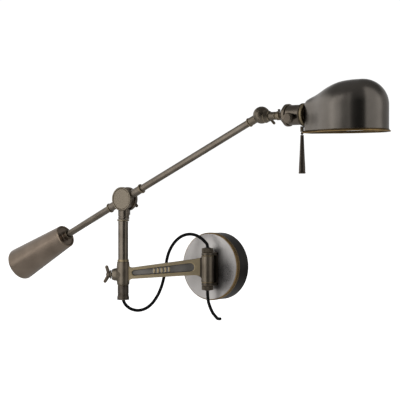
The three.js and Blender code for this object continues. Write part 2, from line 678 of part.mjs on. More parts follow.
const knuckleScrew = thumbScrew({
  shank: 2.3, shankLength: 30, flange: 5.4, hub: 5.2, hubLength: 8.5, span: 20, splays: [14, 14],
});
knuckleScrew.rotateZ(radians(90)).rotateY(radians(-38)).translate(0, -14.2, 0);

add(knuckle, 'knuckle_swivel', knuckleSwivel(), bronze);
add(knuckle, 'knuckle_screw', knuckleScrew, darkBronze);

// ---- lamp holder, on the neck ----
const head = subgroup(light, ballX, BOOM_Y, HEAD_Z);

function neckRing() {
  const from = NECK_END + GAP;
  const to = CAP_START - GAP;
  const points = [
    [5.3, from], [7.2, from], [8, from + 0.8], [8, to - 0.8], [7.2, to], [5.3, to], [5.3, from],
  ];
  return cut(turned(points, 'x', 20), rod(1.9, 0, 12, 'z', 8).translate((from + to) / 2, 0, 0));
}

function setScrew() {
  const outline = [[0, 5.4], [1.6, 5.4], [1.6, 8.4], [2.2, 8.4], [2.2, 11.2], [0, 11.6]];
  return turned(outline, 'z', 10).translate((NECK_END + CAP_START) / 2, 0, 0);
}

function socketCap() {
  const outside = [
    [5.3, CAP_START], [7.6, CAP_START], [8.8, CAP_START + 1.4], [FLANGE_RADIUS - 0.8, FLANGE_START],
    [FLANGE_RADIUS, FLANGE_START + 0.8], [FLANGE_RADIUS, FLANGE_END],
  ];
  const inside = [
    [15.6, FLANGE_END], [15.6, FLANGE_START + 2], [8, CAP_START + 5], [5.3, CAP_START + 5], [5.3, CAP_START],
  ];
  return turned([...outside, ...inside], 'x', 28);
}

const SLOT_Z = -1.6;

function socketShell() {
  const from = FLANGE_END + GAP;
  const shell = ring(SOCKET_RADIUS, SOCKET_RADIUS - 1.3, from, SHELL_END, 'x', 28);
  const slot = box([SHELL_END - from - 2.4, 6, 2.2], [(SHELL_END + from) / 2, -SOCKET_RADIUS, SLOT_Z]);
  const shaftHole = rod(2.8, -24, -12, 'y', 10).translate(KNOB_X, 0, KNOB_Z);
  return cut(shell, slot, shaftHole);
}

function lampholder() {
  const from = FLANGE_END + 2;
  const outline = [
    [0, from], [15.6, from], [15.6, SHELL_END - 0.4], [THROAT_RADIUS - GAP, SHELL_END - 0.4],
    [THROAT_RADIUS - GAP, HEEL_X + 8], [7.8, HEEL_X + 8], [7.8, from + 9], [0, from + 9],
  ];
  const holder = turned(outline, 'x', 24);
  const shaftRoom = rod(3, -17, -9.5, 'y', 10).translate(KNOB_X, 0, KNOB_Z);
  return cut(holder, shaftRoom);
}

function switchKnob() {
  const flute = rod(1, -9, 0, 'y', 6).translate(KNOB_RADIUS, 0, 0);
  const flutes = [];
  for (let i = 0; i < 12; i += 1) {
    flutes.push(flute.clone().rotateY((2 * Math.PI * i) / 12));
  }
  const edge = KNOB_RADIUS - 0.7;
  const outline = [
    [0, -7.4], [7, -7.4], [edge, -6.6], [KNOB_RADIUS, -4.6], [KNOB_RADIUS, -0.6], [edge, 0], [0, 0],
  ];
  const knob = cut(turned(outline, 'y', 24), ...flutes);
  const shaft = rod(2, -1, 10, 'y', 10);
  return join(knob, shaft).translate(KNOB_X, KNOB_BACK, KNOB_Z);
}

function fitterRing(from, to) {
  const radius = 19.7;
  const points = [
    [THROAT_RADIUS, from], [radius - 0.7, from], [radius, from + 0.7], [radius, to - 0.7], [radius - 0.7, to],
    [THROAT_RADIUS, to], [THROAT_RADIUS, from],
  ];
  return turned(points, 'x', 28);
}

add(head, 'neck_ring', neckRing(), wornBrass);
add(head, 'neck_set_screw', setScrew(), darkBronze);
add(head, 'socket_cap', socketCap(), bronze);
add(head, 'socket_shell', socketShell(), bronze);
add(head, 'lampholder', lampholder(), insulator);
add(head, 'switch_knob', switchKnob(), bronze);
add(head, 'fitter_ring_rear', fitterRing(SHELL_END + GAP, SHELL_END + 3.8), darkBronze);
add(head, 'fitter_ring_front', fitterRing(SHELL_END + 4.1, SHELL_END + 9.3), wornBrass);
add(head, 'fitter_neck', ring(14, THROAT_RADIUS, SHELL_END + 9.6, HEEL_X - GAP, 'x', 20), bronze);

// ---- shade: the upper half of a turned form with straight walls below it ----
const FLANK = [
  [0, 12.5], [9, 16.2], [19.5, 20.3], [28.5, 24.6], [46.5, 33.8], [66.5, 40.6], [88.5, 43.2],
  [NOSE_X - HEEL_X, NOSE_RADIUS],
];

// Half widths of the shade seen from above, as [half width, distance along], from the heel to the nose's tip.
function shadeProfile(inset) {
  const spline = new THREE.SplineCurve(FLANK.map(([x, r]) => new THREE.Vector2(x, r)));
  const flank = spline.getPoints(10).map((p) => [p.y - inset, HEEL_X + Math.max(p.x, inset)]);
  const steps = 6;
  const radius = NOSE_RADIUS - inset;
  const nose = [];
  for (let i = 1; i < steps; i += 1) {
    const angle = (Math.PI / 2) * (i / steps);
    nose.push([radius * Math.cos(angle), NOSE_X + radius * Math.sin(angle)]);
  }
  return [...flank, ...nose, [0, NOSE_X + radius]];
}

function shadeSolid(inset, floor) {
  const profile = shadeProfile(inset);
  const start = HEEL_X + inset;
  const dome = turned([[0, start], ...profile], 'x', 30);
  const outline = new THREE.Shape();
  outline.moveTo(start, 0);
  for (const [radius, x] of profile) outline.lineTo(x, -radius);
  for (const [radius, x] of profile.slice(0, -1).reverse()) outline.lineTo(x, radius);
  outline.closePath();
  const walls = plate(outline, floor - DOME_Z, DOME_Z - floor);
  const upper = common(dome, box([400, 200, 200], [NOSE_X, 0, 100 - 0.01]));
  return join(upper, walls).translate(0, 0, DOME_Z);
}

function shade() {
  const body = shadeSolid(0, RIM_Z + RIM_HEIGHT);
  const hollow = shadeSolid(SHADE_WALL, RIM_Z - 5);
  const hole = rod(THROAT_RADIUS + 0.1, HEEL_X - 2, HEEL_X + 4, 'x', 20);
  return cut(body, hollow, hole);
}

function shadeRim() {
  const band = shadeSolid(-1, RIM_Z);
  const lip = shadeSolid(-3.2, RIM_Z);
  const hollow = shadeSolid(SHADE_WALL, RIM_Z - 5);
  const bandHeight = box([400, 200, RIM_HEIGHT - GAP], [NOSE_X, 0, RIM_Z + (RIM_HEIGHT - GAP) / 2]);
  const lipHeight = box([400, 200, 1.8], [NOSE_X, 0, RIM_Z + 1.1]);
  return cut(join(common(band, bandHeight), common(lip, lipHeight)), hollow);
}

add(head, 'shade', shade(), shadeBronze);
add(head, 'shade_rim', shadeRim(), wornBrass);
const lockRing = ring(10.7, THROAT_RADIUS, HEEL_X + SHADE_WALL + GAP, HEEL_X + 5, 'x', 20);

add(head, 'shade_lock_ring', lockRing, wornBrass);

// ---- lamp ----
function bulbGlass() {
  const outline = [
    [0, HEEL_X + 3], [6.4, HEEL_X + 3], [7.4, HEEL_X + 8], [11.5, HEEL_X + 16], [15.5, HEEL_X + 28],
    [16, HEEL_X + 36], [13.4, HEEL_X + 47], [8.4, HEEL_X + 54], [0, HEEL_X + 57],
  ];
  return turned(outline, 'x', 20);
}

function bulbBase() {
  const contact = 73.4;
  const top = HEEL_X + 2.7;
  return turned([[0, contact], [2.4, contact], [6.9, contact + 2.6], [6.9, top], [0, top]], 'x', 16);
}

add(head, 'bulb_base', bulbBase(), steel);
add(head, 'bulb_glass', bulbGlass(), glass);

// ---- aiming handle below the fitter ----
function handleBracket() {
  const top = -20;
  const leafHeight = 9.4;
  const footHeight = 2;
  const leaf = box([4.2, 6, leafHeight], [HANDLE_X, 0, top - leafHeight / 2]);
  const foot = box([5, 8, footHeight], [SHELL_END + 1.6, 0, top - footHeight / 2]);
  return join(leaf, foot);
}

function aimingHandle() {
  const top = -34.9;
  const bottom = HANDLE_END;
  const outline = [
    [0, bottom], [5.2, bottom], [6.1, bottom + 0.8], [6.1, bottom + 1.8], [5.6, bottom + 2.6],
    [5.5, bottom + 10], [4.8, bottom + 24], [3.8, bottom + 44], [2.9, top], [0, top],
  ];
  return turned(outline, 'z', 18).translate(HANDLE_X, 0, 0);
}

const handleJoint = new THREE.SphereGeometry(2.5, 12, 8).translate(HANDLE_X, 0, -32.1);
add(head, 'handle_bracket', handleBracket(), bronze);
add(head, 'handle_joint', handleJoint, wornBrass);
add(head, 'aiming_handle', aimingHandle(), darkBronze);

export default light;
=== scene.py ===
"""Looks of a counterweighted wall picture light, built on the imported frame.

Lengths are in millimetres until a mesh is made. The origin is the middle of the wall bar's back, and the wall
is the plane y = 0.
"""

import math

import bmesh
import bpy
import numpy as np
from mathutils import Matrix, Vector


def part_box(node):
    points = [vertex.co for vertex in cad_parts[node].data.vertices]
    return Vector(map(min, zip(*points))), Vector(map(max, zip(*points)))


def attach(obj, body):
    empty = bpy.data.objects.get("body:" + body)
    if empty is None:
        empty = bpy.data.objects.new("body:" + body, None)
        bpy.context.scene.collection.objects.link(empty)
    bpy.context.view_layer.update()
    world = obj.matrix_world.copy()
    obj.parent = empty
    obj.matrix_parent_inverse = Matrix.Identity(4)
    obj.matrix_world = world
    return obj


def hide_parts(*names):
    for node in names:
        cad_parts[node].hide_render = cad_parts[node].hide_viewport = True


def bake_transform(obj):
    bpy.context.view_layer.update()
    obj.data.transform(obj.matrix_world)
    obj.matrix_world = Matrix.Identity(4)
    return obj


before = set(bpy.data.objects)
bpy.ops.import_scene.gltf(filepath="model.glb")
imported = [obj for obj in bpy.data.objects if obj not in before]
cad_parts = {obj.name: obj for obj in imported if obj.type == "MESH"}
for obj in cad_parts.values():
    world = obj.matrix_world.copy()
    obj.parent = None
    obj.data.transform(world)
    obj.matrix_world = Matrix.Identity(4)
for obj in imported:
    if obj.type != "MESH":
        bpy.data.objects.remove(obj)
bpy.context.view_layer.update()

# ---- driving dimensions, in millimetres ----
MM = 0.001
GAP = 0.3
CANOPY_RADIUS = 64.2
CANOPY_DEPTH = 38.5
COVER_DEPTH = 9.4
BARREL_RADIUS = 12.2
BARREL_TOP = 20.0
BARREL_BOTTOM = -28.0
PIVOT_TUBE_RADIUS = 6.0
LUG_THICKNESS = 5.6
WASHER = 0.9
NUT_HEIGHT = 8.0
ARM_LENGTH = 158.5
ARM_HEADING = 217.5
ARM_THICKNESS = 14.0
PANEL_DEPTH = 4.0
PANEL_START = 33.0
PANEL_END = 137.0
BEAM_START = 24.0
BEAM_END = 141.0
CLAMP_TOP = 9.9
CLAMP_BOTTOM = -33.3
BOSS_Z = -14.0
POST_RADIUS = 9.5
POST_TOP = 86.0
POST_END = -33.6
FERRULE_END = -61.5
BOOM_SLOPE = 25.3
WEIGHT_KINK = 0.5
BOOM_LENGTH = 343.5
BOOM_RADIUS = 6.3
SPIGOT_RADIUS = 4.1
SPIGOT_LENGTH = 8.0
DISC_RADIUS = 22.4
DISC_THICKNESS = 5.5
HUB_RADIUS = 19.5
HUB_THICKNESS = 11.4
STUB_RADIUS = 7.7
STUB_END = 43.0
WEIGHT_STUB_END = 37.4
WEIGHT_START = 164.3
WEIGHT_LENGTH = 136.0
WEIGHT_SMALL = 22.3
WEIGHT_LARGE = 32.0
BALL_RADIUS = 15.1
NECK_RADIUS = 7.1
NECK_END = 32.2
SOCKET_RADIUS = 17.4
FLANGE_RADIUS = 19.6
CAP_START = 40.5
FLANGE_START = 52.5
FLANGE_END = 58.3
SHELL_END = 84.6
HEEL_X = 95.5
THROAT_RADIUS = 9.6
NOSE_X = 203.7
NOSE_RADIUS = 43.5
DOME_Z = 12.2
RIM_Z = -32.6
RIM_HEIGHT = 4.6
SHADE_WALL = 1.5
HANDLE_X = 83.8
HANDLE_END = -101.2
KNOB_X = 70.5
KNOB_Z = -6.6
KNOB_BACK = -20.0
KNOB_RADIUS = 9.5
CORD_RADIUS = 3.0
CORD_BORE = 3.5
FOOT_BORE = 5.6

LOOP_ROUTE = [
    (-116.7, -154, -56.5), (-116.35, -153.5, -60.5), (-115.4, -152.2, -65.6), (-113.2, -148.9, -71.8),
    (-107.6, -141, -79), (-99.7, -130, -82.2), (-91, -119, -79.2), (-83, -110, -70.6),
    (-74.9, -102.3, -55.2), (-69, -97.4, -37.8), (-65.8, -94.7, -22.5), (-63.5, -92.8, -7),
    (-61.9, -91.6, 7.5), (-59.3, -89.8, 21.9), (-54.8, -86.6, 35.3), (-46.8, -81.2, 48.9),
    (-36.2, -75.2, 58), (-23.5, -69.2, 61.4), (-11.8, -64.6, 59.2), (-2.2, -60.8, 53.6),
    (4.6, -58.5, 47), (8.7, -57.2, 42), (9.4, -57, 37.5), (9.4, -57, 33),
]
TAIL_ROUTE = [
    (9.4, -57, -41), (9.4, -57, -46), (9.6, -57, -52), (9.9, -56.6, -58.4), (9.9, -54.6, -66),
    (9.2, -50, -73.6), (7.6, -43, -81.2), (5.4, -34, -88.6), (2.6, -23, -94.8), (0.2, -13.5, -99.6),
    (-1.4, -7, -101.4), (-1.8, -3, -101.8), (-1.8, 0, -101.8),
]


# ---- places, read from the frame ----
def centre(node):
    low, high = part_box(node)
    return (low + high) / 2 / MM


def place(x, y, z, turn_z=0.0, turn_y=0.0):
    """A frame with its origin at a point in millimetres, turned about Z and then about its own Y."""
    turns = Matrix.Rotation(math.radians(turn_z), 4, "Z") @ Matrix.Rotation(math.radians(turn_y), 4, "Y")
    return Matrix.Translation((x, y, z)) @ turns


hinge = centre("pivot_tube")
post = centre("post_tube")
pivot = centre("pivot_bolt")
boom_y = centre("boom_hub").y
slope = math.radians(BOOM_SLOPE)
ball = Vector((pivot.x + BOOM_LENGTH * math.cos(slope), boom_y, pivot.z + BOOM_LENGTH * math.sin(slope)))
head_z = centre("socket_cap").z

WALL = Matrix.Identity(4)
HINGE = place(hinge.x, hinge.y, 0)
ARM = place(hinge.x, hinge.y, 0, turn_z=ARM_HEADING)
POST = place(post.x, post.y, 0)
PIVOT = place(pivot.x, boom_y, pivot.z)
BOOM = place(pivot.x, boom_y, pivot.z, turn_y=-BOOM_SLOPE)
BALL = place(*ball)
WEIGHT = BOOM @ Matrix.Rotation(-math.radians(WEIGHT_KINK), 4, "Y")
HEAD = place(ball.x, ball.y, head_z)


# ---- camera ----
def make_camera():
    data = bpy.data.cameras.new("camera")
    data.sensor_width = 36
    data.lens = 129.15
    data.clip_end = 100
    data.shift_x = -0.0007
    data.shift_y = 0.0007
    camera = bpy.data.objects.new("camera", data)
    bpy.context.scene.collection.objects.link(camera)
    camera.location = (1.6034, -2.2342, 0.1253)
    aim = Vector((-0.0149, -0.0471, 0.1253)) - camera.location
    camera.rotation_euler = aim.to_track_quat("-Z", "Y").to_euler()
    bpy.context.scene.camera = camera


make_camera()


# ---- node materials ----
class Nodes:
    """The node tree of a material or a world, with short ways to add nodes and links."""

    def __init__(self, owner):
        owner.use_nodes = True
        self.owner = owner
        self.tree = owner.node_tree
        self.shader = self.tree.nodes.get("Principled BSDF")

    def add(self, kind, **settings):
        node = self.tree.nodes.new("ShaderNode" + kind)
        for key, value in settings.items():
            setattr(node, key, value)
        return node

    def link(self, source, target):
        self.tree.links.new(source, target)

    def noise(self, scale, detail=4.0, roughness=0.55, stretch=None):
        where = self.add("TexCoord").outputs["Object"]
        if stretch:
            mapping = self.add("Mapping")
            mapping.inputs["Scale"].default_value = stretch
            self.link(where, mapping.inputs["Vector"])
            where = mapping.outputs["Vector"]
        node = self.add("TexNoise")
        node.inputs["Scale"].default_value = scale
        node.inputs["Detail"].default_value = detail
        node.inputs["Roughness"].default_value = roughness
        self.link(where, node.inputs["Vector"])
        return node.outputs["Fac"]

    def ramp(self, source, *stops):
        node = self.add("ValToRGB")
        elements = node.color_ramp.elements
        while len(elements) < len(stops):
            elements.new(0.5)
        for element, (position, value) in zip(elements, stops):
            element.position = position
            colour = value if isinstance(value, tuple) else (value, value, value)
            element.color = (*colour, 1.0)
        self.link(source, node.inputs["Fac"])
        return node.outputs["Color"]

    def mix(self, factor, a, b, kind="MIX"):
        node = self.add("Mix", data_type="RGBA", blend_type=kind)
        if factor == 1:
            node.inputs["Factor"].default_value = 1
        else:
            self.link(factor, node.inputs["Factor"])
        for value, socket in ((a, node.inputs[6]), (b, node.inputs[7])):
            if isinstance(value, tuple):
                socket.default_value = (*value, 1.0)
            else:
                self.link(value, socket)
        return node.outputs[2]

    def math(self, operation, a, b, clamp=False):
        node = self.add("Math", operation=operation, use_clamp=clamp)
        for value, socket in ((a, node.inputs[0]), (b, node.inputs[1])):
            if isinstance(value, (int, float)):
                socket.default_value = value
            else:
                self.link(value, socket)
        return node.outputs[0]

    def span(self, source, low, high):
        """source, from 0 to 1, spread over low to high."""
        node = self.add("MapRange")
        node.inputs["To Min"].default_value = low
        node.inputs["To Max"].default_value = high
        self.link(source, node.inputs["Value"])
        return node.outputs["Result"]

    def bump(self, height, distance, strength=1.0):
        node = self.add("Bump")
        node.inputs["Distance"].default_value = distance
        node.inputs["Strength"].default_value = strength
        self.link(height, node.inputs["Height"])
        self.link(node.outputs["Normal"], self.shader.inputs["Normal"])

    def attribute(self, name):
        return self.add("Attribute", attribute_name=name).outputs["Fac"]


def material_nodes(name):
    return Nodes(bpy.data.materials.new(name))


def aged_metal(name, dark, base, bright, rough, wear=0.8, mottle=38.0, grain=0.000006, dirt=0.35):
    """Patinated metal: cloudy tone, rubbed bright along the worn edges, dark where dirt gathers in hollows,
    and where painted shade and a painted reflection are laid on the canopy plate.
    """
    n = material_nodes(name)
    cloud = n.noise(mottle, 3.0, 0.5)
    speck = n.noise(420.0, 3.0, 0.6)
    tone = n.ramp(cloud, (0.32, dark), (0.68, base))
    patches = n.span(n.noise(150.0, 4.0, 0.7), wear * 0.35, wear * 1.5)
    rubbed = n.math("MULTIPLY", n.attribute("worn"), patches, True)
    # this mask darkens for dirt in hollows and, on the canopy plate, for painted shade and a painted
    # reflection
    grime_and_shade_mask = n.math("MULTIPLY", n.attribute("grime_and_shade"), n.span(speck, 0.6, 1.0), True)
    colour = n.mix(rubbed, tone, bright)
    colour = n.mix(grime_and_shade_mask, colour, tuple(c * dirt for c in dark))
    n.link(colour, n.shader.inputs["Base Color"])
    n.shader.inputs["Metallic"].default_value = 1.0
    uneven = n.math("ADD", cloud, n.math("MULTIPLY", speck, 0.3))
    n.link(n.span(uneven, rough - 0.06, rough + 0.06), n.shader.inputs["Roughness"])
    height = n.math("ADD", n.noise(900.0, 2.0, 0.5), n.math("MULTIPLY", n.noise(160.0, 3.0, 0.5), 1.5))
    n.bump(height, grain, 0.6)
    return n.owner


def plain_metal(name, colour, rough):
    n = material_nodes(name)
    streak = n.noise(260.0, 4.0, 0.6, stretch=(1.0, 1.0, 0.25))
    darker = tuple(c * 0.7 for c in colour)
    n.link(n.ramp(streak, (0.2, darker), (0.8, colour)), n.shader.inputs["Base Color"])
    n.shader.inputs["Metallic"].default_value = 1.0
    n.link(n.span(streak, rough - 0.08, rough + 0.1), n.shader.inputs["Roughness"])
    n.bump(streak, 0.00003)
    return n.owner


def moulded(name, colour, rough):
    n = material_nodes(name)
    speck = n.noise(700.0, 3.0, 0.6)
    darker = tuple(c * 0.7 for c in colour)
    n.link(n.ramp(speck, (0.3, darker), (0.7, colour)), n.shader.inputs["Base Color"])
    n.link(n.span(speck, rough - 0.08, rough + 0.08), n.shader.inputs["Roughness"])
    n.bump(speck, 0.00004)
    return n.owner


def braid(name):
    n = material_nodes(name)
    fibre = n.noise(1500.0, 3.0, 0.7)
    dirt = n.noise(90.0, 3.0, 0.5)
    colour = n.mix(n.math("MULTIPLY", fibre, dirt), (0.002, 0.002, 0.002), (0.010, 0.010, 0.010))
    n.link(colour, n.shader.inputs["Base Color"])
    n.link(n.span(fibre, 0.62, 0.9), n.shader.inputs["Roughness"])
    n.shader.inputs["Specular IOR Level"].default_value = 0.15
    n.bump(fibre, 0.0001)
    return n.owner


def frosted_glass(name):
    n = material_nodes(name)
    cloud = n.noise(60.0, 3.0, 0.5)
    tone = n.ramp(cloud, (0.3, (0.78, 0.77, 0.73)), (0.7, (0.86, 0.85, 0.81)))
    n.link(tone, n.shader.inputs["Base Color"])
    n.link(n.span(cloud, 0.22, 0.34), n.shader.inputs["Roughness"])
    n.shader.inputs["Subsurface Weight"].default_value = 0.2
    n.shader.inputs["Subsurface Radius"].default_value = (0.01, 0.01, 0.008)
    return n.owner


BRONZE = aged_metal(
    "bronze", (0.140, 0.118, 0.094), (0.205, 0.174, 0.140), (0.42, 0.33, 0.20),
    0.31, wear=0.35,
)
DARK_BRONZE = aged_metal(
    "dark_bronze", (0.075, 0.062, 0.050), (0.130, 0.110, 0.089), (0.36, 0.28, 0.17),
    0.46, wear=0.3,
)
WEIGHT_BRONZE = aged_metal(
    "counterweight", (0.200, 0.158, 0.122), (0.280, 0.224, 0.176), (0.46, 0.36, 0.24),
    0.33, wear=0.35, mottle=24.0,
)
ARM_BRONZE = aged_metal(
    "arm_bronze", (0.135, 0.113, 0.086), (0.215, 0.181, 0.140), (0.46, 0.38, 0.25),
    0.41, wear=0.7,
)
ARM_FACE = aged_metal(
    "arm_face", (0.34, 0.28, 0.19), (0.44, 0.365, 0.25), (0.60, 0.48, 0.27),
    0.56, wear=0.8,
)
DISC = aged_metal(
    "pivot_disc", (0.235, 0.200, 0.155), (0.275, 0.235, 0.182), (0.42, 0.34, 0.22),
    0.52, wear=0.15, mottle=22.0, grain=0.000003,
)
RECESS = aged_metal(
    "arm_recess", (0.24, 0.225, 0.205), (0.34, 0.32, 0.295), (0.75, 0.60, 0.35),
    0.46, wear=1.2,
)
# dirt=0.1 makes the painted shade and painted reflection on the canopy plate very dark
FACE = aged_metal(
    "canopy_face", (0.50, 0.475, 0.46), (0.58, 0.555, 0.535), (0.50, 0.42, 0.30),
    0.38, wear=0.2, mottle=14.0, dirt=0.1,
)
BLACK = aged_metal(
    "canopy_side", (0.030, 0.027, 0.025), (0.048, 0.043, 0.039), (0.20, 0.15, 0.09),
    0.42, wear=0.3,
)
BAND = aged_metal(
    "canopy_band", (0.045, 0.034, 0.021), (0.085, 0.064, 0.040), (0.62, 0.40, 0.16),
    0.40, wear=0.7,
)
SHADE = aged_metal(
    "shade_bronze", (0.130, 0.116, 0.101), (0.185, 0.167, 0.147), (0.36, 0.29, 0.19),
    0.27, wear=0.25, mottle=16.0,
)
INSIDE = aged_metal(
    "shade_inside", (0.060, 0.050, 0.031), (0.105, 0.090, 0.057), (0.30, 0.24, 0.14),
    0.5, wear=0.2,
)
RING = aged_metal(
    "turned_ring", (0.165, 0.135, 0.098), (0.265, 0.220, 0.160), (0.50, 0.40, 0.24),
    0.42, wear=0.35,
)
BRASS = aged_metal(
    "worn_brass", (0.22, 0.175, 0.11), (0.36, 0.29, 0.18), (0.55, 0.43, 0.26),
    0.43, wear=0.4,
)
KNOB = aged_metal(
    "switch_knob", (0.135, 0.112, 0.088), (0.205, 0.173, 0.137), (0.36, 0.29, 0.19),
    0.46, wear=0.3,
)
STEEL = plain_metal("steel", (0.45, 0.45, 0.46), 0.34)
INSULATOR = moulded("insulator", (0.035, 0.028, 0.022), 0.5)
CORD = braid("cord_fabric")
GLASS = frosted_glass("bulb_glass")


# ---- mesh helpers ----
def softened(profile, radius, steps=4):
    """The profile with its corners rounded, as (radius, along, worn, grime). It stays closed if it was."""
    points = [Vector(p[:2]) for p in profile]
    closed = (points[0] - points[-1]).length < 1e-6
    if closed:
        points = points[:-1]
    count = len(points)
    out = []
    for i, corner in enumerate(points):
        if not closed and i in (0, count - 1):
            out.append((corner.x, corner.y, 0.0, 0.0))
            continue
        before, after = points[i - 1], points[(i + 1) % count]
        into, away = corner - before, after - corner
        turn = into.x * away.y - into.y * away.x
        bend = into.angle(away)
        if bend < 0.12:
            out.append((corner.x, corner.y, 0.0, 0.0))
            continue
        cut = min(radius, into.length * 0.4, away.length * 0.4)
        fade = min(cut + 0.9, into.length * 0.48, away.length * 0.48)
        into, away = into.normalized(), away.normalized()
        share = min(1.0, bend / 1.2)
        worn, grime_and_shade = (share, 0.0) if turn > 0 else (0.0, share)
        first, last = corner - into * cut, corner + away * cut
        out.append((*(corner - into * fade), 0.0, 0.0))
        for k in range(steps + 1):
            t = k / steps
            spot = first * (1 - t) ** 2 + corner * (2 * t * (1 - t)) + last * t ** 2
            out.append((spot.x, spot.y, worn, grime_and_shade))
        out.append((*(corner + away * fade), 0.0, 0.0))
    if closed:
        out.append(out[0])
    return out


AXES = {
    "x": Matrix(((0, 1, 0), (-1, 0, 0), (0, 0, 1))),
    "y": Matrix.Identity(3),
    "z": Matrix(((1, 0, 0), (0, 0, -1), (0, 1, 0))),
}


class Build:
    """Gathers closed shells in one local frame, in millimetres, and makes one mesh object of them."""

    def __init__(self, where=WALL):
        self.where = where
        self.vertices = []
        self.faces = []
        self.worn = []
        self.grime_and_shade = []

    def shell(self, vertices, faces, worn=0.0, grime_and_shade=0.0, turn=None):
        start = len(self.vertices)
        matrix = self.where if turn is None else self.where @ turn
        self.vertices += [matrix @ Vector(v) for v in vertices]
        self.faces += [[start + i for i in face] for face in faces]
        count = len(vertices)
        self.worn += list(worn) if hasattr(worn, "__len__") else [worn] * count
        self.grime_and_shade += list(grime_and_shade) if hasattr(grime_and_shade, "__len__") else [grime_and_shade] * count
        return self

    def turned(self, profile, axis, soften=0.5, segments=96, flutes=None, turn=None, at=(0, 0, 0)):
        """A turned shell. flutes is (count, depth, least radius): grooves cut along the outside."""
        points = softened(profile, soften)
        closed = (points[0][:2] == points[-1][:2])
        if closed:
            points = points[:-1]
        vertices, worn, grime_and_shade, rings = [], [], [], []
        for radius, along, w, g in points:
            if radius < 1e-6:
                rings.append([len(vertices)])
                vertices.append(AXES[axis] @ Vector((0, along, 0)) + Vector(at))
                worn.append(w)
                grime_and_shade.append(g)
                continue
            rings.append(list(range(len(vertices), len(vertices) + segments)))
            for k in range(segments):
                angle = 2 * math.pi * k / segments
                wave = 0.0
                if flutes and radius >= flutes[2]:
                    wave = flutes[1] * (0.5 + 0.5 * math.cos(flutes[0] * angle)) ** 2
                spot = Vector(((radius - wave) * math.cos(angle), along, (radius - wave) * math.sin(angle)))
                vertices.append(AXES[axis] @ spot + Vector(at))
                worn.append(w if not flutes or radius < flutes[2] else max(w, 0.5 - wave / flutes[1]))
                grime_and_shade.append(max(g, wave / flutes[1] * 0.8) if flutes and radius >= flutes[2] else g)
        faces = []
        pairs = list(zip(rings, rings[1:])) + ([(rings[-1], rings[0])] if closed else [])
        for a, b in pairs:
            for k in range(segments):
                j = (k + 1) % segments
                face = [a[k % len(a)], a[j % len(a)], b[j % len(b)], b[k % len(b)]]
                faces.append(list(dict.fromkeys(face)))
        faces = [f for f in faces if len(f) > 2]
        return self.shell(vertices, faces, worn, grime_and_shade, turn)

    def plate(self, outline, low, high, axis="z", round_edge=0.6, turn=None):
        """An anticlockwise outline pushed along an axis, its edges rounded by stepping inwards."""
        lower = [(0.0, low, 0.0)]
        if round_edge:
            steps = 4
            angles = [math.pi / 2 * k / steps for k in range(steps + 1)]
            spots = [(1 - math.sin(a), 1 - math.cos(a)) for a in angles]
            bend = [(round_edge * u, low + round_edge * v, 1.0) for u, v in spots]
            lower = [(round_edge + 1.0, low, 0.0)] + bend + [(0.0, low + round_edge + 0.9, 0.0)]
        upper = [(inset, low + high - z, w) for inset, z, w in reversed(lower)]
        rings, vertices, worn = [], [], []
        for inset, level, w in lower + upper:
            ring = inset_outline(outline, inset)
            rings.append(list(range(len(vertices), len(vertices) + len(ring))))
            vertices += [to_axis(axis, u, v, level) for u, v in ring]
            worn += [w] * len(ring)
        faces = [list(reversed(rings[0])), rings[-1], *skin(rings)]
        return self.shell(vertices, faces, worn, 0.0, turn)

    def object(self, name, body, nodes, slot, material, sharp=40):
        mesh = bpy.data.meshes.new(name)
        mesh.from_pydata([v * MM for v in self.vertices], [], self.faces)
        mesh.validate()
        for key, values in (("worn", self.worn), ("grime_and_shade", self.grime_and_shade)):
            if len(values) == len(mesh.vertices):
                mesh.attributes.new(key, "FLOAT", "POINT").data.foreach_set("value", values)
        outward(mesh)
        return finished(mesh, name, body, nodes, material, sharp)


def skin(rings):
    """The faces between rings of equally many vertices."""
    faces = []
    for a, b in zip(rings, rings[1:]):
        for k in range(len(a)):
            j = (k + 1) % len(a)
            faces.append([a[k], a[j], b[j], b[k]])
    return faces


def to_axis(axis, u, v, level):
    if axis == "z":
        return (u, v, level)
    if axis == "y":
        return (u, level, v)
    return (level, u, v)


def inset_outline(outline, amount):
    """The outline moved inwards by an amount, along the mean normal at each point."""
    if amount == 0:
        return outline
    count = len(outline)
    moved = []
    for i, (x, y) in enumerate(outline):
        a = Vector(outline[i]) - Vector(outline[i - 1])
        b = Vector(outline[(i + 1) % count]) - Vector(outline[i])
        normal = Vector((-a.y, a.x)).normalized() + Vector((-b.y, b.x)).normalized()
        normal = normal / max(normal.length_squared / 2, 0.5)
        moved.append((x + normal.x * amount, y + normal.y * amount))
    return moved


def outward(mesh):
    work = bmesh.new()
    work.from_mesh(mesh)
    bmesh.ops.recalc_face_normals(work, faces=work.faces)
    work.to_mesh(mesh)
    work.free()


def finished(mesh, name, body, nodes, material, sharp=40):
    mesh.shade_smooth()
    mesh.set_sharp_from_angle(angle=math.radians(sharp))
    mesh.materials.append(material)
    piece = bpy.data.objects.new(name, mesh)
    bpy.context.scene.collection.objects.link(piece)
    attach(piece, body)
    if nodes:
        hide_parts(*nodes)
    return piece


def loose(build, name):
    """A bare mesh object, a tool or the start of a piece, that rides on nothing yet."""
    mesh = bpy.data.meshes.new(name)
    mesh.from_pydata([v * MM for v in build.vertices], [], build.faces)
    outward(mesh)
    tool = bpy.data.objects.new(name, mesh)
    bpy.context.scene.collection.objects.link(tool)
    return tool


def arc(centre_x, centre_y, radius, start, end, steps):
    """Points on an arc, angles in degrees."""
    angles = [math.radians(start + (end - start) * k / steps) for k in range(steps + 1)]
    return [(centre_x + radius * math.cos(a), centre_y + radius * math.sin(a)) for a in angles]


def vertex_places(mesh):
    """The mesh's vertices as rows of x, y and z in millimetres."""
    spots = np.empty(3 * len(mesh.vertices))
    mesh.vertices.foreach_get("co", spots)
    return spots.reshape(-1, 3) / MM


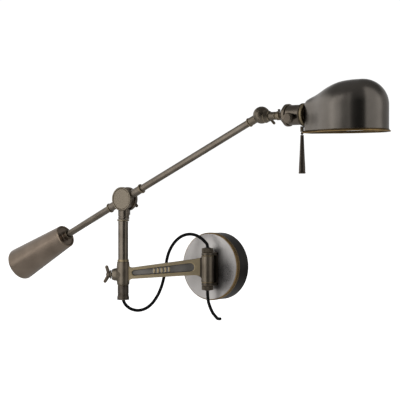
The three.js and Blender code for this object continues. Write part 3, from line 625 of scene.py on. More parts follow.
def cylinder(radius, low, high):
    """The profile of a plain solid cylinder."""
    return [(0, low), (radius, low), (radius, high), (0, high)]


def solid_ring(outer, inner, low, high):
    return [(inner, low), (outer, low), (outer, high), (inner, high), (inner, low)]


def edged_ring(outer, inner, low, high, edge):
    """A ring's profile with its outer edges cut back by edge."""
    return [
        (inner, low), (outer - edge, low), (outer, low + edge), (outer, high - edge), (outer - edge, high),
        (inner, high), (inner, low),
    ]


# ---- cords ----
def smooth_route(points, step):
    """Points a step apart on a Catmull-Rom curve through the given points."""
    knots = [Vector(p) for p in points]
    knots = [knots[0] * 2 - knots[1]] + knots + [knots[-1] * 2 - knots[-2]]
    fine = []
    for a, b, c, d in zip(knots, knots[1:], knots[2:], knots[3:]):
        spans = [max(1e-6, (q - p).length) ** 0.5 for p, q in ((a, b), (b, c), (c, d))]
        t1, t2, t3 = spans[0], spans[0] + spans[1], sum(spans)
        for k in range(40):
            t = t1 + (t2 - t1) * k / 40
            ab = a.lerp(b, t / t1)
            bc = b.lerp(c, (t - t1) / (t2 - t1))
            cd = c.lerp(d, (t - t2) / (t3 - t2))
            abc = ab.lerp(bc, t / t2)
            bcd = bc.lerp(cd, (t - t1) / (t3 - t1))
            fine.append(abc.lerp(bcd, (t - t1) / (t2 - t1)))
    fine.append(knots[-2])
    lengths = np.concatenate([[0], np.cumsum([(q - p).length for p, q in zip(fine, fine[1:])])])
    count = max(2, round(lengths[-1] / step))
    wanted = np.linspace(0, lengths[-1], count + 1)
    axes = [np.interp(wanted, lengths, [p[k] for p in fine]) for k in range(3)]
    return [Vector(p) for p in zip(*axes)], float(lengths[-1])


def braided_cord(name, route, body, node, blended=None):
    """A cloth-covered cord: a tube whose surface carries the crossing strands of its braid."""
    sides = 48
    path, length = smooth_route(route, 0.5)
    tangent = (path[1] - path[0]).normalized()
    side = tangent.orthogonal().normalized()
    vertices = []
    for i, spot in enumerate(path):
        ahead = (path[min(i + 1, len(path) - 1)] - path[max(i - 1, 0)]).normalized()
        side = (side - ahead * side.dot(ahead)).normalized()
        other = ahead.cross(side)
        for k in range(sides):
            angle = 2 * math.pi * k / sides
            weave = math.cos(12 * angle) - math.cos(2 * math.pi * i * 0.5 / 2.3)
            radius = CORD_RADIUS - 0.09 + 0.045 * weave
            vertices.append(spot + side * radius * math.cos(angle) + other * radius * math.sin(angle))
    rings = [list(range(i * sides, (i + 1) * sides)) for i in range(len(path))]
    piece = loose(Build().shell(vertices, [*skin(rings), rings[0][::-1], rings[-1]]), name)
    piece.data.shade_smooth()
    piece.data.materials.append(CORD)
    if blended:
        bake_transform(piece)
    else:
        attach(piece, body)
    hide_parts(node)


braided_cord("cord_loop_braid", LOOP_ROUTE, "arm", "cord_loop", blended="post")
braided_cord("cord_tail_braid", TAIL_ROUTE, "canopy", "cord_tail")


# ---- canopy ----
def paint_plate_shade(mesh):
    """Painted shade and a painted reflection of the barrel and arm on the plate beside the yoke, darker
    towards +x, weaker towards its edges.
    """
    x, _, z = vertex_places(mesh).T
    # painted shade and painted reflection: a dark patch beside the yoke, plus darkening towards +x
    beside = np.exp(-(((x - 36) / 27) ** 2) - ((z + 12) / 34) ** 2)
    grime_and_shade = 1.1 * beside + 0.25 * np.clip((x - 5) / 35, 0, 1)
    mesh.attributes["grime_and_shade"].data.foreach_set("value", np.clip(grime_and_shade, 0, 1.15).astype(np.float32))


def make_canopy():
    back = -(CANOPY_DEPTH - COVER_DEPTH)
    front = -CANOPY_DEPTH
    outer = CANOPY_RADIUS - 0.6
    drum = Build().turned(solid_ring(outer, outer - 1.8, back + GAP, 0), "y", 0.5, 160)
    drum.object("canopy_drum_spun", "canopy", ["canopy_drum"], "canopy_side", BLACK)

    lip = outer - 2.2
    band_front = front + 0.9
    band = [
        (lip - 1.5, back + 7), (lip - 1.5, band_front), (CANOPY_RADIUS - 1.2, band_front),
        (CANOPY_RADIUS, front + 2.2), (CANOPY_RADIUS, front + 4.0), (CANOPY_RADIUS - 0.9, front + 4.5),
        (CANOPY_RADIUS - 0.9, front + 5.7), (CANOPY_RADIUS - 0.1, front + 6.2), (CANOPY_RADIUS - 0.1, back),
        (lip, back), (lip, back + 7), (lip - 1.5, back + 7),
    ]
    rim = Build().turned(band, "y", 0.5, 160)
    rim.object("canopy_band", "canopy", [], "worn_brass", BAND)
    plate = Build()
    steps = 20
    flat = [((CANOPY_RADIUS - 2.4) * k / steps, front) for k in range(steps + 1)]
    plate.turned(flat + [(CANOPY_RADIUS - 1.9, front + 0.8), (0, front + 0.8)], "y", 0, 160)
    piece = plate.object("canopy_plate", "canopy", ["canopy_cover"], "canopy_face", FACE)
    # lays painted shade and a painted reflection on the canopy plate
    paint_plate_shade(piece.data)


make_canopy()


def make_hinge():
    top_lug = BARREL_TOP + WASHER + 2 * GAP
    bottom_lug = BARREL_BOTTOM - WASHER - 2 * GAP
    nut_top = top_lug + LUG_THICKNESS + GAP
    nut_bottom = bottom_lug - LUG_THICKNESS - GAP - NUT_HEIGHT
    face = -CANOPY_DEPTH - hinge.y - GAP
    half = BARREL_RADIUS - 0.8
    outline = [(half, face)] + arc(0, 0, half, 0, -180, 40) + [(-half, face)]
    outline = outline[::-1]
    yoke = Build(HINGE)
    for low in (top_lug, bottom_lug - LUG_THICKNESS):
        yoke.plate(outline, low, low + LUG_THICKNESS, round_edge=0.9)
    height = (bottom_lug - LUG_THICKNESS, top_lug + LUG_THICKNESS)
    back = [(-half, face - 4.6), (half, face - 4.6), (half, face), (-half, face)]
    yoke.plate(back, *height, round_edge=0.9)
    yoke.turned(cylinder(5, face - 2, face + 9), "y", 0.4, 48, at=(0, 0, -4))
    yoke.object("yoke_cast", "canopy", ["yoke"], "dark_bronze", DARK_BRONZE)

    for name, low in (("pivot_nut_top", nut_top), ("pivot_nut_bottom", nut_bottom)):
        profile = edged_ring(11, 6.3, low, low + NUT_HEIGHT, 0.8)
        nut = Build(HINGE).turned(profile, "z", 0.5, 216, flutes=(36, 0.5, 10.6))
        nut.object(name + "_knurled", "canopy", [name], "dark_bronze", DARK_BRONZE)
    for name, low in (("top", BARREL_TOP + GAP), ("bottom", BARREL_BOTTOM - GAP - WASHER)):
        ring = Build(HINGE).turned(solid_ring(BARREL_RADIUS - 0.4, 6.3, low, low + WASHER), "z", 0.25)
        ring.object(f"pivot_washer_{name}_turned", "canopy", [f"pivot_washer_{name}"], "worn_brass", BRASS)
    for name, way in (("top", 1), ("bottom", -1)):
        start = nut_top + NUT_HEIGHT - 0.4 + GAP if way > 0 else nut_bottom + 0.4 - GAP
        root, tip = start - 3 * way, start + 1.4 * way
        shank = PIVOT_TUBE_RADIUS - 1
        profile = [
            (CORD_BORE, root), (shank, root), (shank, start), (PIVOT_TUBE_RADIUS - 0.2, start),
            (PIVOT_TUBE_RADIUS - 0.8, tip), (CORD_BORE, tip), (CORD_BORE, root),
        ]
        bush = Build(HINGE).turned(profile if way > 0 else profile[::-1], "z", 0.4, 48)
        bush.object(f"cord_bush_{name}_turned", "canopy", [f"cord_bush_{name}"], "insulator", INSULATOR)


make_hinge()


# ---- swing arm ----
def top_edge(x):
    return 15.1 - 0.136 * (x - BEAM_START)


def bottom_edge(x):
    return -15.1 - 0.06 * (x - BEAM_START)


def middle_line(x):
    return (top_edge(x) + bottom_edge(x)) / 2 + 0.4


def quadratic(a, b, c, steps=8):
    spots = []
    for k in range(1, steps + 1):
        t = k / steps
        spots.append(tuple(a[i] * (1 - t) ** 2 + 2 * b[i] * t * (1 - t) + c[i] * t * t for i in (0, 1)))
    return spots


def boolean(target, tool, operation):
    modifier = target.modifiers.new("cut", "BOOLEAN")
    modifier.operation = operation
    modifier.object = tool
    modifier.solver = "EXACT"
    modifier.use_self = True
    apply_modifiers(target)
    bpy.data.objects.remove(tool)


def apply_modifiers(target):
    graph = bpy.context.evaluated_depsgraph_get()
    mesh = bpy.data.meshes.new_from_object(target.evaluated_get(graph))
    target.modifiers.clear()
    target.data = mesh


def add_shells(target, other):
    """Adds the shells of another tool object, which is then gone."""
    whole = bmesh.new()
    whole.from_mesh(target.data)
    whole.from_mesh(other.data)
    whole.to_mesh(target.data)
    whole.free()
    bpy.data.objects.remove(other)


def taken_mesh(tool):
    """The mesh of a tool object, which is then gone."""
    mesh = tool.data
    bpy.data.objects.remove(tool)
    return mesh


def panel_half(x):
    return 8.4 - 0.028 * (x - BEAM_START)


def panel_outline():
    start, end = PANEL_START, PANEL_END
    outline = [(start, middle_line(start) - panel_half(start)), (end, middle_line(end) - panel_half(end))]
    outline += arc(end, middle_line(end), panel_half(end), -90, 90, 16)[1:]
    outline += arc(start, middle_line(start), panel_half(start), 90, 270, 16)[:-1]
    return outline


def arm_outline():
    """The side view of the arm's web, from the hinge barrel to the clamp, with swept corners."""
    corner_top = quadratic(
        (8, BARREL_TOP - 1.5), (14, top_edge(14) + 1), (BEAM_START, top_edge(BEAM_START))
    )
    corner_end = quadratic((BEAM_END, top_edge(BEAM_END)), (147, top_edge(147) + 0.5), (149.5, 5.5))
    foot_end = quadratic((149.5, -29.5), (147, bottom_edge(147) - 0.5), (BEAM_END, bottom_edge(BEAM_END)))
    foot = quadratic(
        (BEAM_START, bottom_edge(BEAM_START)), (14, bottom_edge(14) - 1.5), (8, BARREL_BOTTOM + 2.5)
    )
    outline = [(8, BARREL_TOP - 1.5), *corner_top, (BEAM_END, top_edge(BEAM_END)), *corner_end, (152, 5.5)]
    outline += [(152, -29.5), (149.5, -29.5), *foot_end, (BEAM_START, bottom_edge(BEAM_START)), *foot]
    return outline[::-1]


def arm_casting(half):
    """The web, the barrel, the clamp sleeve and its boss as one body, with the panels and the bores cut."""
    clamp = (CLAMP_TOP + CLAMP_BOTTOM) / 2
    sleeve = [
        (0, CLAMP_BOTTOM), (11.5, CLAMP_BOTTOM), (12.4, clamp - 10), (12.8, clamp), (12.4, clamp + 10),
        (11.5, CLAMP_TOP), (0, CLAMP_TOP),
    ]
    boss = [(0, 0), (11.9, 0), (11.9, 13), (11.3, 17.6), (9.6, 21.2), (0, 21.2)]
    clamp_place = (ARM_LENGTH, 0, 0)
    boss_place = (ARM_LENGTH, 0, BOSS_Z)
    body = Build(ARM)
    body.plate(arm_outline(), -half, half, axis="y", round_edge=0)
    body.turned(cylinder(BARREL_RADIUS, BARREL_BOTTOM, BARREL_TOP), "z", 0.7)
    body.turned(sleeve, "z", 0.7, at=clamp_place)
    body.turned(boss, "x", 0.7, at=boss_place)
    casting = loose(body, "arm_body")
    for side in (-1, 1):
        low, high = sorted((side * (half - PANEL_DEPTH), side * (half + 2)))
        panel = Build(ARM).plate(panel_outline(), low, high, axis="y", round_edge=0)
        boolean(casting, loose(panel, "panel_tool"), "DIFFERENCE")
    for profile, axis, at in (
        (cylinder(8.1, BARREL_BOTTOM - 1, BARREL_TOP + 1), "z", (0, 0, 0)),
        (cylinder(9.8, CLAMP_BOTTOM - 1, CLAMP_TOP + 1), "z", clamp_place),
        (cylinder(3.4, 9.9, 24), "x", boss_place),
    ):
        boolean(casting, loose(Build(ARM).turned(profile, axis, 0, at=at), "bore_tool"), "DIFFERENCE")
    return casting


def make_arm():
    half = ARM_THICKNESS / 2
    casting = arm_casting(half)
    relief = Build(ARM)
    for i in range(5):
        x = 72 + 7 * i
        bar = arc(x, middle_line(x) + 3.2, 1.5, 0, 180, 8) + arc(x, middle_line(x) - 3.2, 1.5, 180, 360, 8)
        reach = half - PANEL_DEPTH + 1.9
        relief.plate(bar, -reach, reach, axis="y", round_edge=0)
    add_shells(casting, loose(relief, "arm_relief"))
    remesh = casting.modifiers.new("cast", "REMESH")
    remesh.mode = "VOXEL"
    remesh.voxel_size = 0.6 * MM
    blur = casting.modifiers.new("soft", "SMOOTH")
    blur.factor = 0.5
    blur.iterations = 3
    apply_modifiers(casting)
    mesh = taken_mesh(casting)
    paint_arm(mesh, half)
    mesh.materials.append(ARM_BRONZE)
    finished(mesh, "swing_arm_cast", "arm", ["swing_arm"], ARM_FACE, 180)
    mesh.materials.append(RECESS)


FACE_SLOT = 1
RECESS_SLOT = 2


def paint_arm(mesh, half):
    """Rubs proud borders and relief, darkens the panel's corners and gives the flat faces their metal."""
    back = ARM.inverted()
    local = vertex_places(mesh) @ np.array(back.to_3x3()).T + np.array(back.translation)
    x, y, z = local.T
    middle = middle_line(x)
    centre_x, half_length = (PANEL_START + PANEL_END) / 2, (PANEL_END - PANEL_START) / 2
    beyond = np.hypot(np.clip(np.abs(x - centre_x) - half_length, 0, None), z - middle) - panel_half(x)
    depth = half - np.abs(y)
    beam = (x > 14) & (x < 148)
    worn = np.where(beam & (depth < 0.5), 0.30, 0.0)
    worn = np.where(beam & (depth < 1.2) & (np.abs(beyond) < 1.1), 0.85, worn)
    proud = (depth > PANEL_DEPTH - 2.4) & (depth < PANEL_DEPTH - 0.9)
    worn = np.where(beam & proud & (beyond < -2), 0.7, worn)
    grime_and_shade = np.where(beam & (depth > PANEL_DEPTH - 0.8) & (beyond > -1.6), 0.75, 0.0)
    for key, values in (("worn", worn), ("grime_and_shade", grime_and_shade)):
        mesh.attributes.new(key, "FLOAT", "POINT").data.foreach_set("value", values.astype(np.float32))
    flat = beam & (np.abs(z - middle) < 17)
    sunk = flat & (depth > PANEL_DEPTH - 2.6) & (beyond < 0.2)
    kind = np.where(sunk, RECESS_SLOT, np.where(flat, FACE_SLOT, 0))
    for face in mesh.polygons:
        face.material_index = int(kind[face.vertices[0]])


make_arm()


def wing_outline(span, root, tip):
    outline = [(-root, 0), (root, 0), (tip, span - tip)]
    outline += arc(0, span - tip, tip, 0, 180, 14)[1:-1]
    return outline + [(-tip, span - tip)]


def thumb_screw(build, shank, shank_length, flange, hub, hub_length, span, splays, turn):
    start = shank_length
    profile = [
        (0, 0), (shank, 0), (shank, start), (flange - 0.8, start + 0.2), (flange, start + 0.9),
        (flange - 0.6, start + 1.9), (hub, start + 3.4), (hub, start + hub_length * 0.6),
        (hub * 0.72, start + hub_length * 0.9), (0, start + hub_length),
    ]
    build.turned(profile, "x", 1.2, 64, turn=turn)
    for side, splay in enumerate(splays):
        flip = Matrix.Rotation(side * math.pi, 4, "X")
        tilt = Matrix.Rotation(math.radians(splay), 4, "Y")
        wing = Matrix.Translation((start + hub_length * 0.42, 0, 0)) @ flip @ tilt
        outline = wing_outline(span, hub * 0.65, 3.1)
        build.plate(outline, -1.8, 1.8, axis="y", round_edge=1.3, turn=turn @ wing)
    return build


def make_arm_fittings():
    brass = [
        ("arm_bush_upper", solid_ring(7.8, 6.3, BARREL_TOP - 11, BARREL_TOP - 1), (0, 0, 0)),
        ("arm_bush_lower", solid_ring(7.8, 6.3, BARREL_BOTTOM + 1, BARREL_BOTTOM + 11), (0, 0, 0)),
        ("clamp_felt", solid_ring(10.7, 9.8, CLAMP_TOP + GAP, CLAMP_TOP + 4.2), (ARM_LENGTH, 0, 0)),
    ]
    for node, profile, at in brass:
        ring = Build(ARM).turned(profile, "z", 0.3, 72, at=at)
        ring.object(node + "_turned", "arm", [node], "worn_brass", BRASS)
    turn = Matrix.Translation((ARM_LENGTH + POST_RADIUS + 2.8, 0, BOSS_Z))
    screw = thumb_screw(Build(ARM), 2.9, 9.6, 9, 5.6, 10.5, 18, (18, 31), turn)
    screw.object("wing_screw_cast", "clamp_screw", ["wing_screw"], "dark_bronze", DARK_BRONZE)


make_arm_fittings()


# ---- post ----
def make_post():
    tube = Build(POST).turned(solid_ring(POST_RADIUS, POST_RADIUS - 1.5, POST_END, POST_TOP), "z", 0.4)
    tube.object("post_tube_drawn", "post", ["post_tube"], "bronze", BRONZE)
    top = POST_END - GAP
    profile = [
        (FOOT_BORE, FERRULE_END), (10.8, FERRULE_END), (11.3, FERRULE_END + 0.8), (11.3, FERRULE_END + 5),
        (10.4, FERRULE_END + 8), (10.4, FERRULE_END + 10.2), (10.0, FERRULE_END + 10.6),
        (10.0, FERRULE_END + 11.8), (10.4, FERRULE_END + 12.2), (10.4, top), (7.7, top), (7.7, top + 9),
        (FOOT_BORE, top + 9), (FOOT_BORE, FERRULE_END),
    ]
    ferrule = Build(POST).turned(profile, "z", 0.5)
    ferrule.object("post_ferrule_turned", "post", ["post_ferrule"], "bronze", DARK_BRONZE)
    profile = solid_ring(FOOT_BORE - GAP, 3.9, FERRULE_END + 0.6, FERRULE_END + 5)
    bush = Build(POST).turned(profile, "z", 0.4, 48)
    bush.object("post_cord_bush_turned", "post", ["post_cord_bush"], "insulator", INSULATOR)
    low = POST_TOP + GAP
    profile = [
        (6.5, low), (10.6, low), (11.35, low + 0.8), (11.35, low + 2.7), (10.6, low + 3.5), (6.5, low + 3.5),
        (6.5, low),
    ]
    ring = Build(POST).turned(profile, "z", 0.5)
    ring.object("post_ring_turned", "post", ["post_ring"], "worn_brass", RING)


make_post()


# ---- pivot head ----
def make_pivot():
    cheek_back = HUB_THICKNESS / 2 + GAP + DISC_THICKNESS
    front = -cheek_back
    bottom = POST_TOP + 4.1 - pivot.z
    top = 4 - DISC_RADIUS
    half = HUB_THICKNESS / 2
    neck_y = post.y - boom_y + 1.8
    profile = [
        (0, bottom), (10.0, bottom), (10.6, bottom + 0.8), (10.6, bottom + 3.2), (10.1, bottom + 3.8),
        (10.1, bottom + 5.2), (10.6, bottom + 5.8), (10.6, top), (0, top),
    ]
    neck = Build(PIVOT).turned(profile, "z", 0.5, at=(0, neck_y, 0))
    bridge = [(-4.5, -30), (4.5, -30), (4.5, -20.5), (-4.5, -20.5)]
    neck.plate(bridge, neck_y, cheek_back, axis="y", round_edge=0.9)
    casting = loose(neck, "neck_body")
    room = [
        (0, 2 * front), (DISC_RADIUS + GAP, 2 * front), (DISC_RADIUS + GAP, -half), (HUB_RADIUS + 0.6, -half),
        (HUB_RADIUS + 0.6, half + GAP), (0, half + GAP),
    ]
    boolean(casting, loose(Build(PIVOT).turned(room, "y", 0), "hub_room"), "DIFFERENCE")
    cheek = Build(PIVOT).turned(solid_ring(DISC_RADIUS, 4.4, half + GAP, cheek_back), "y", 0.9)
    add_shells(casting, loose(cheek, "cheek"))
    finished(taken_mesh(casting), "post_head_cast", "head", ["post_head"], BRONZE)

    back = front + DISC_THICKNESS
    bead = 1.5
    turns = np.linspace(0, math.pi, 9)
    rim = [(DISC_RADIUS - bead - bead * math.cos(a), front + bead - bead * math.sin(a)) for a in turns]
    disc = [(0, front + 0.9), (18.7, front + 0.9), (19.1, front + 1.7), *rim, (DISC_RADIUS, back), (0, back)]
    cover = Build(PIVOT).turned(disc, "y", 0.3)
    cover.object("pivot_disc_turned", "head", ["pivot_disc"], "bronze", DISC)

    start = cheek_back + GAP
    nut = Build(PIVOT)
    hub = [(4.4, start), (8, start), (6.4, start + 8), (4.4, start + 8), (4.4, start)]
    spin = Matrix.Rotation(math.radians(138), 4, "Y")
    nut.turned(hub, "y", 0.7, 64)
    for side in (0, math.pi):
        lay = Matrix.Rotation(math.radians(-16), 4, "X")
        lift = Matrix.Translation((0, start + 4.6, 0)) @ Matrix.Rotation(side, 4, "Y") @ lay
        outline = [(u, v + 3.6) for u, v in wing_outline(17.4, 4.2, 3.2)]
        nut.plate(outline, -1.6, 1.6, axis="y", round_edge=1.2, turn=spin @ lift)
    nut.object("pivot_wing_nut_cast", "pivot_nut", ["pivot_wing_nut"], "dark_bronze", DARK_BRONZE)


make_pivot()


# ---- boom ----
def collar(build, low, length, outer, inner):
    return build.turned(edged_ring(outer, inner, low, low + length, 0.7), "x", 0.4, 72)


def make_boom():
    half = HUB_THICKNESS / 2
    hub = Build(BOOM)
    hub.turned(solid_ring(HUB_RADIUS, 4.3, -half, half), "y", 0.8)
    for end, heading in ((STUB_END, 0), (WEIGHT_STUB_END, 180 - WEIGHT_KINK)):
        turn = Matrix.Rotation(math.radians(heading), 4, "Y")
        profile = [
            (0, 12), (half - 0.1, 12), (half - 0.1, DISC_RADIUS + 0.8), (STUB_RADIUS, DISC_RADIUS + 1.1),
            (STUB_RADIUS, end), (0, end),
        ]
        hub.turned(profile, "x", 0.7, 72, turn=turn)
    hub.object("boom_hub_cast", "boom", ["boom_hub"], "bronze", BRONZE)

    length = 3.2
    after_ring = length + 2 * GAP
    end_ring = BOOM_LENGTH - 30
    bore = SPIGOT_RADIUS + GAP
    rings = (
        ("boom_ring_lamp", BOOM, STUB_END + GAP, 9.2, bore), ("boom_ring_end", BOOM, end_ring, 8.3, 3.4),
        ("boom_ring_weight", WEIGHT, -WEIGHT_STUB_END - GAP - length, 9.2, bore),
    )
    for node, where, low, outer, inner in rings:
        ring = collar(Build(where), low, length, outer, inner)
        ring.object(node + "_turned", "boom", [node], "worn_brass", RING)
    lock = Build(WEIGHT).turned(solid_ring(9.8, 6.6, -WEIGHT_START + 6.6, -WEIGHT_START + 9.6), "x", 0.4, 72)
    lock.object("weight_lock_ring_turned", "boom", ["weight_lock_ring"], "dark_bronze", DARK_BRONZE)

    shoulder, spigot, to = STUB_END + after_ring, STUB_END - SPIGOT_LENGTH, end_ring - GAP
    profile = [
        (2.8, spigot), (SPIGOT_RADIUS, spigot), (SPIGOT_RADIUS, shoulder), (BOOM_RADIUS, shoulder),
        (BOOM_RADIUS, to), (2.8, to), (2.8, spigot),
    ]
    tube = Build(BOOM).turned(profile, "x", 0.3, 72)
    tube.object("boom_tube_drawn", "boom", ["boom_tube"], "bronze", BRONZE)
    far, shoulder, spigot = WEIGHT_START + 40, WEIGHT_STUB_END + after_ring, WEIGHT_STUB_END - SPIGOT_LENGTH
    profile = [
        (0, -far), (BOOM_RADIUS, -far), (BOOM_RADIUS, -shoulder), (SPIGOT_RADIUS, -shoulder),
        (SPIGOT_RADIUS, -spigot), (0, -spigot),
    ]
    rod = Build(WEIGHT).turned(profile, "x", 0.3, 72)
    rod.object("weight_rod_drawn", "boom", ["weight_rod"], "bronze", BRONZE)

    small, large = -WEIGHT_START, -(WEIGHT_START + WEIGHT_LENGTH)
    neck, bore = 8, BOOM_RADIUS + GAP
    outline = [
        (0, large + 0.5), (WEIGHT_LARGE - 9, large + 0.5), (WEIGHT_LARGE - 8.4, large),
        (WEIGHT_LARGE - 3.4, large),
        (WEIGHT_LARGE - 0.9, large + 0.9), (WEIGHT_LARGE, large + 3.4), (WEIGHT_LARGE - 0.25, large + 8),
        (WEIGHT_SMALL + 0.2, small - 6), (WEIGHT_SMALL, small - 1.4), (WEIGHT_SMALL - 1.2, small),
        (WEIGHT_SMALL - 2.4, small), (WEIGHT_SMALL - 3.6, small - 2.2), (neck + 1.6, small - 2.2),
        (neck, small - 1),
        (neck, small + 6), (bore, small + 6), (bore, small - 4), (0, small - 4),
    ]
    weight = Build(WEIGHT).turned(outline, "x", 0.8, 144)
    weight.object("counterweight_cast", "boom", ["counterweight"], "bronze", WEIGHT_BRONZE)


make_boom()


# ---- knuckle ----
def half_ball(side):
    """Profile of a half ball about the Y axis, flat just off its middle."""
    flat = GAP / 2
    start = math.asin(flat / BALL_RADIUS)
    angles = [start + (math.pi / 2 - start) * k / 16 for k in range(17)]
    points = [(BALL_RADIUS * math.cos(a), BALL_RADIUS * math.sin(a)) for a in angles]
    points[-1] = (0, BALL_RADIUS)
    profile = [(0, flat)] + points
    if side > 0:
        return profile
    return [(radius, -along) for radius, along in reversed(profile)]


def make_knuckle():
    base = Build(place(*ball, turn_y=-BOOM_SLOPE))
    base.turned(half_ball(1), "y", 0.4)
    start = 3.2 + GAP - 30
    base.turned(cylinder(7.4, start, -12), "x", 0.6, 72)
    base.object("knuckle_base_cast", "boom", ["knuckle_base"], "bronze", ARM_BRONZE)

    drop = head_z - ball.z
    swivel = Build(BALL)
    swivel.turned(half_ball(-1), "y", 0.4)
    hood = [
        (0, 9), (12.1, 9), (9.9, 14.6), (8.9, 17.1), (NECK_RADIUS, 17.8), (NECK_RADIUS, 29.8), (6.4, 30.2),
        (6.4, 31), (NECK_RADIUS, 31.4), (NECK_RADIUS, NECK_END), (5, NECK_END), (5, NECK_END + 14.6),
        (0, NECK_END + 14.6),
    ]
    swivel.turned(hood, "x", 0.5, 72, at=(0, 0, drop))
    swivel.object("knuckle_swivel_cast", "neck", ["knuckle_swivel"], "bronze", ARM_BRONZE)

    turn = Matrix.Rotation(math.radians(-38), 4, "Y") @ Matrix.Rotation(math.radians(90), 4, "Z")
    turn = Matrix.Translation((0, -14.2, 0)) @ turn
    screw = thumb_screw(Build(BALL), 2.3, 30, 5.4, 5.2, 8.5, 20, (14, 14), turn)
    screw.object("knuckle_screw_cast", "tilt_screw", ["knuckle_screw"], "dark_bronze", DARK_BRONZE)


make_knuckle()


# ---- lamp holder ----
def make_socket():
    profile = edged_ring(8, 5.3, NECK_END + GAP, CAP_START - GAP, 0.8)
    ring = Build(HEAD).turned(profile, "x", 0.5, 72)
    ring.object("neck_ring_turned", "lamp", ["neck_ring"], "worn_brass", RING)
    middle = (NECK_END + CAP_START) / 2
    profile = [(0, 5.4), (1.6, 5.4), (1.6, 8.4), (2.2, 8.4), (2.2, 11.2), (0, 11.6)]
    screw = Build(HEAD).turned(profile, "z", 0.3, 32, at=(middle, 0, 0))
    screw.object("neck_set_screw_turned", "lamp", ["neck_set_screw"], "dark_bronze", DARK_BRONZE)

    profile = [
        (5.3, CAP_START), (7.6, CAP_START), (8.8, CAP_START + 1.4), (FLANGE_RADIUS - 2.2, FLANGE_START - 1.2),
        (FLANGE_RADIUS - 0.8, FLANGE_START), (FLANGE_RADIUS, FLANGE_START + 0.8), (FLANGE_RADIUS, FLANGE_END),
        (15.6, FLANGE_END), (15.6, FLANGE_START + 2), (8, CAP_START + 5), (5.3, CAP_START + 5),
        (5.3, CAP_START),
    ]
    cap = Build(HEAD).turned(profile, "x", 0.5, 120)
    cap.object("socket_cap_spun", "lamp", ["socket_cap"], "bronze", BRONZE)

    low = FLANGE_END + GAP
    shell = Build(HEAD).turned(solid_ring(SOCKET_RADIUS, SOCKET_RADIUS - 1.3, low, SHELL_END), "x", 0.35, 120)
    body = shell.object("socket_shell_spun", "lamp", ["socket_shell"], "bronze", BRONZE)
    slot = Build(HEAD)
    opening = [
        (low + 0.8, -2.7), (SHELL_END - 1.2, -2.7), (SHELL_END - 0.8, -1.6), (SHELL_END - 1.2, -0.5),
        (low + 0.8, -0.5),
    ]
    slot.plate(opening[::-1], -SOCKET_RADIUS - 3, -SOCKET_RADIUS + 3, axis="y", round_edge=0)
    boolean(body, loose(slot, "slot_tool"), "DIFFERENCE")

    low = FLANGE_END + 2
    profile = [
        (0, low), (15.6, low), (15.6, SHELL_END - 0.4), (THROAT_RADIUS - GAP, SHELL_END - 0.4),
        (THROAT_RADIUS - GAP, HEEL_X + 8), (7.8, HEEL_X + 8), (7.8, low + 9), (0, low + 9),
    ]
    holder = Build(HEAD).turned(profile, "x", 0.4, 72)
    holder.object("lampholder_moulded", "lamp", ["lampholder"], "insulator", INSULATOR)

    knob = Build(HEAD)
    edge = KNOB_RADIUS - 0.7
    profile = [
        (0, -7.4), (6.4, -7.4), (7.6, -7.1), (edge, -6.4), (KNOB_RADIUS, -4.6), (KNOB_RADIUS, -0.6),
        (edge, 0), (0, 0),
    ]
    at = (KNOB_X, KNOB_BACK, KNOB_Z)
    knob.turned(profile, "y", 0.5, 168, flutes=(28, 0.45, KNOB_RADIUS - 0.4), at=at)
    knob.turned(cylinder(2, -1, 10), "y", 0.2, 32, at=at)
    knob.object("switch_knob_turned", "switch", ["switch_knob"], "bronze", KNOB)

    for node, low, high, slot_name, material in (
        ("fitter_ring_rear", SHELL_END + GAP, SHELL_END + 3.8, "dark_bronze", DARK_BRONZE),
        ("fitter_ring_front", SHELL_END + 4.1, SHELL_END + 9.3, "worn_brass", BRASS),
    ):
        ring = Build(HEAD).turned(edged_ring(19.7, THROAT_RADIUS, low, high, 0.7), "x", 0.5, 120)
        ring.object(node + "_turned", "lamp", [node], slot_name, material)
    neck = Build(HEAD).turned(solid_ring(14, THROAT_RADIUS, SHELL_END + 9.6, HEEL_X - GAP), "x", 0.3, 96)
    neck.object("fitter_neck_turned", "lamp", ["fitter_neck"], "bronze", BRONZE)


make_socket()


# ---- shade ----
FLANK = [
    (0, 12.5), (9, 16.2), (19.5, 20.3), (28.5, 24.6), (46.5, 33.8), (66.5, 40.6), (88.5, 43.2),
    (NOSE_X - HEEL_X, NOSE_RADIUS),
]


def shade_profile(inset, steps):
    """Half widths along the shade, as (x, half width), from the heel's hole out and round the nose."""
    flank, _ = smooth_route([(x, r, 0) for x, r in FLANK], 2.2)
    profile = [(HEEL_X + max(p.x, inset), p.y - inset) for p in flank]
    for k in range(1, steps + 1):
        angle = math.pi / 2 * k / steps
        radius = NOSE_RADIUS - inset
        profile.append((NOSE_X + radius * math.sin(angle), radius * math.cos(angle)))
    return profile


def shade_hull(inset, floor, soft_heel=0.0):
    """A closed body: a turned dome above the dome line, straight walls below, flat at heel and floor."""
    profile = shade_profile(inset, 22)[:-1]
    arch = 40
    drop = 12
    rings, vertices = [], []
    tip = NOSE_X + NOSE_RADIUS - inset
    for x, half in profile + [(tip, 0.05)]:
        sink = soft_heel * max(0.0, 1 - (x - HEEL_X - inset) / 4) ** 2
        half -= sink
        ring = [(x, -half, floor + (DOME_Z - floor) * k / drop) for k in range(drop)]
        turns = [math.pi * k / arch for k in range(arch + 1)]
        ring += [(x, half * -math.cos(a), DOME_Z + half * math.sin(a)) for a in turns]
        ring += [(x, half, floor + (DOME_Z - floor) * k / drop) for k in reversed(range(drop))]
        rings.append(list(range(len(vertices), len(vertices) + len(ring))))
        vertices += ring
    return Build(HEAD).shell(vertices, [*skin(rings), list(reversed(rings[0])), rings[-1]])


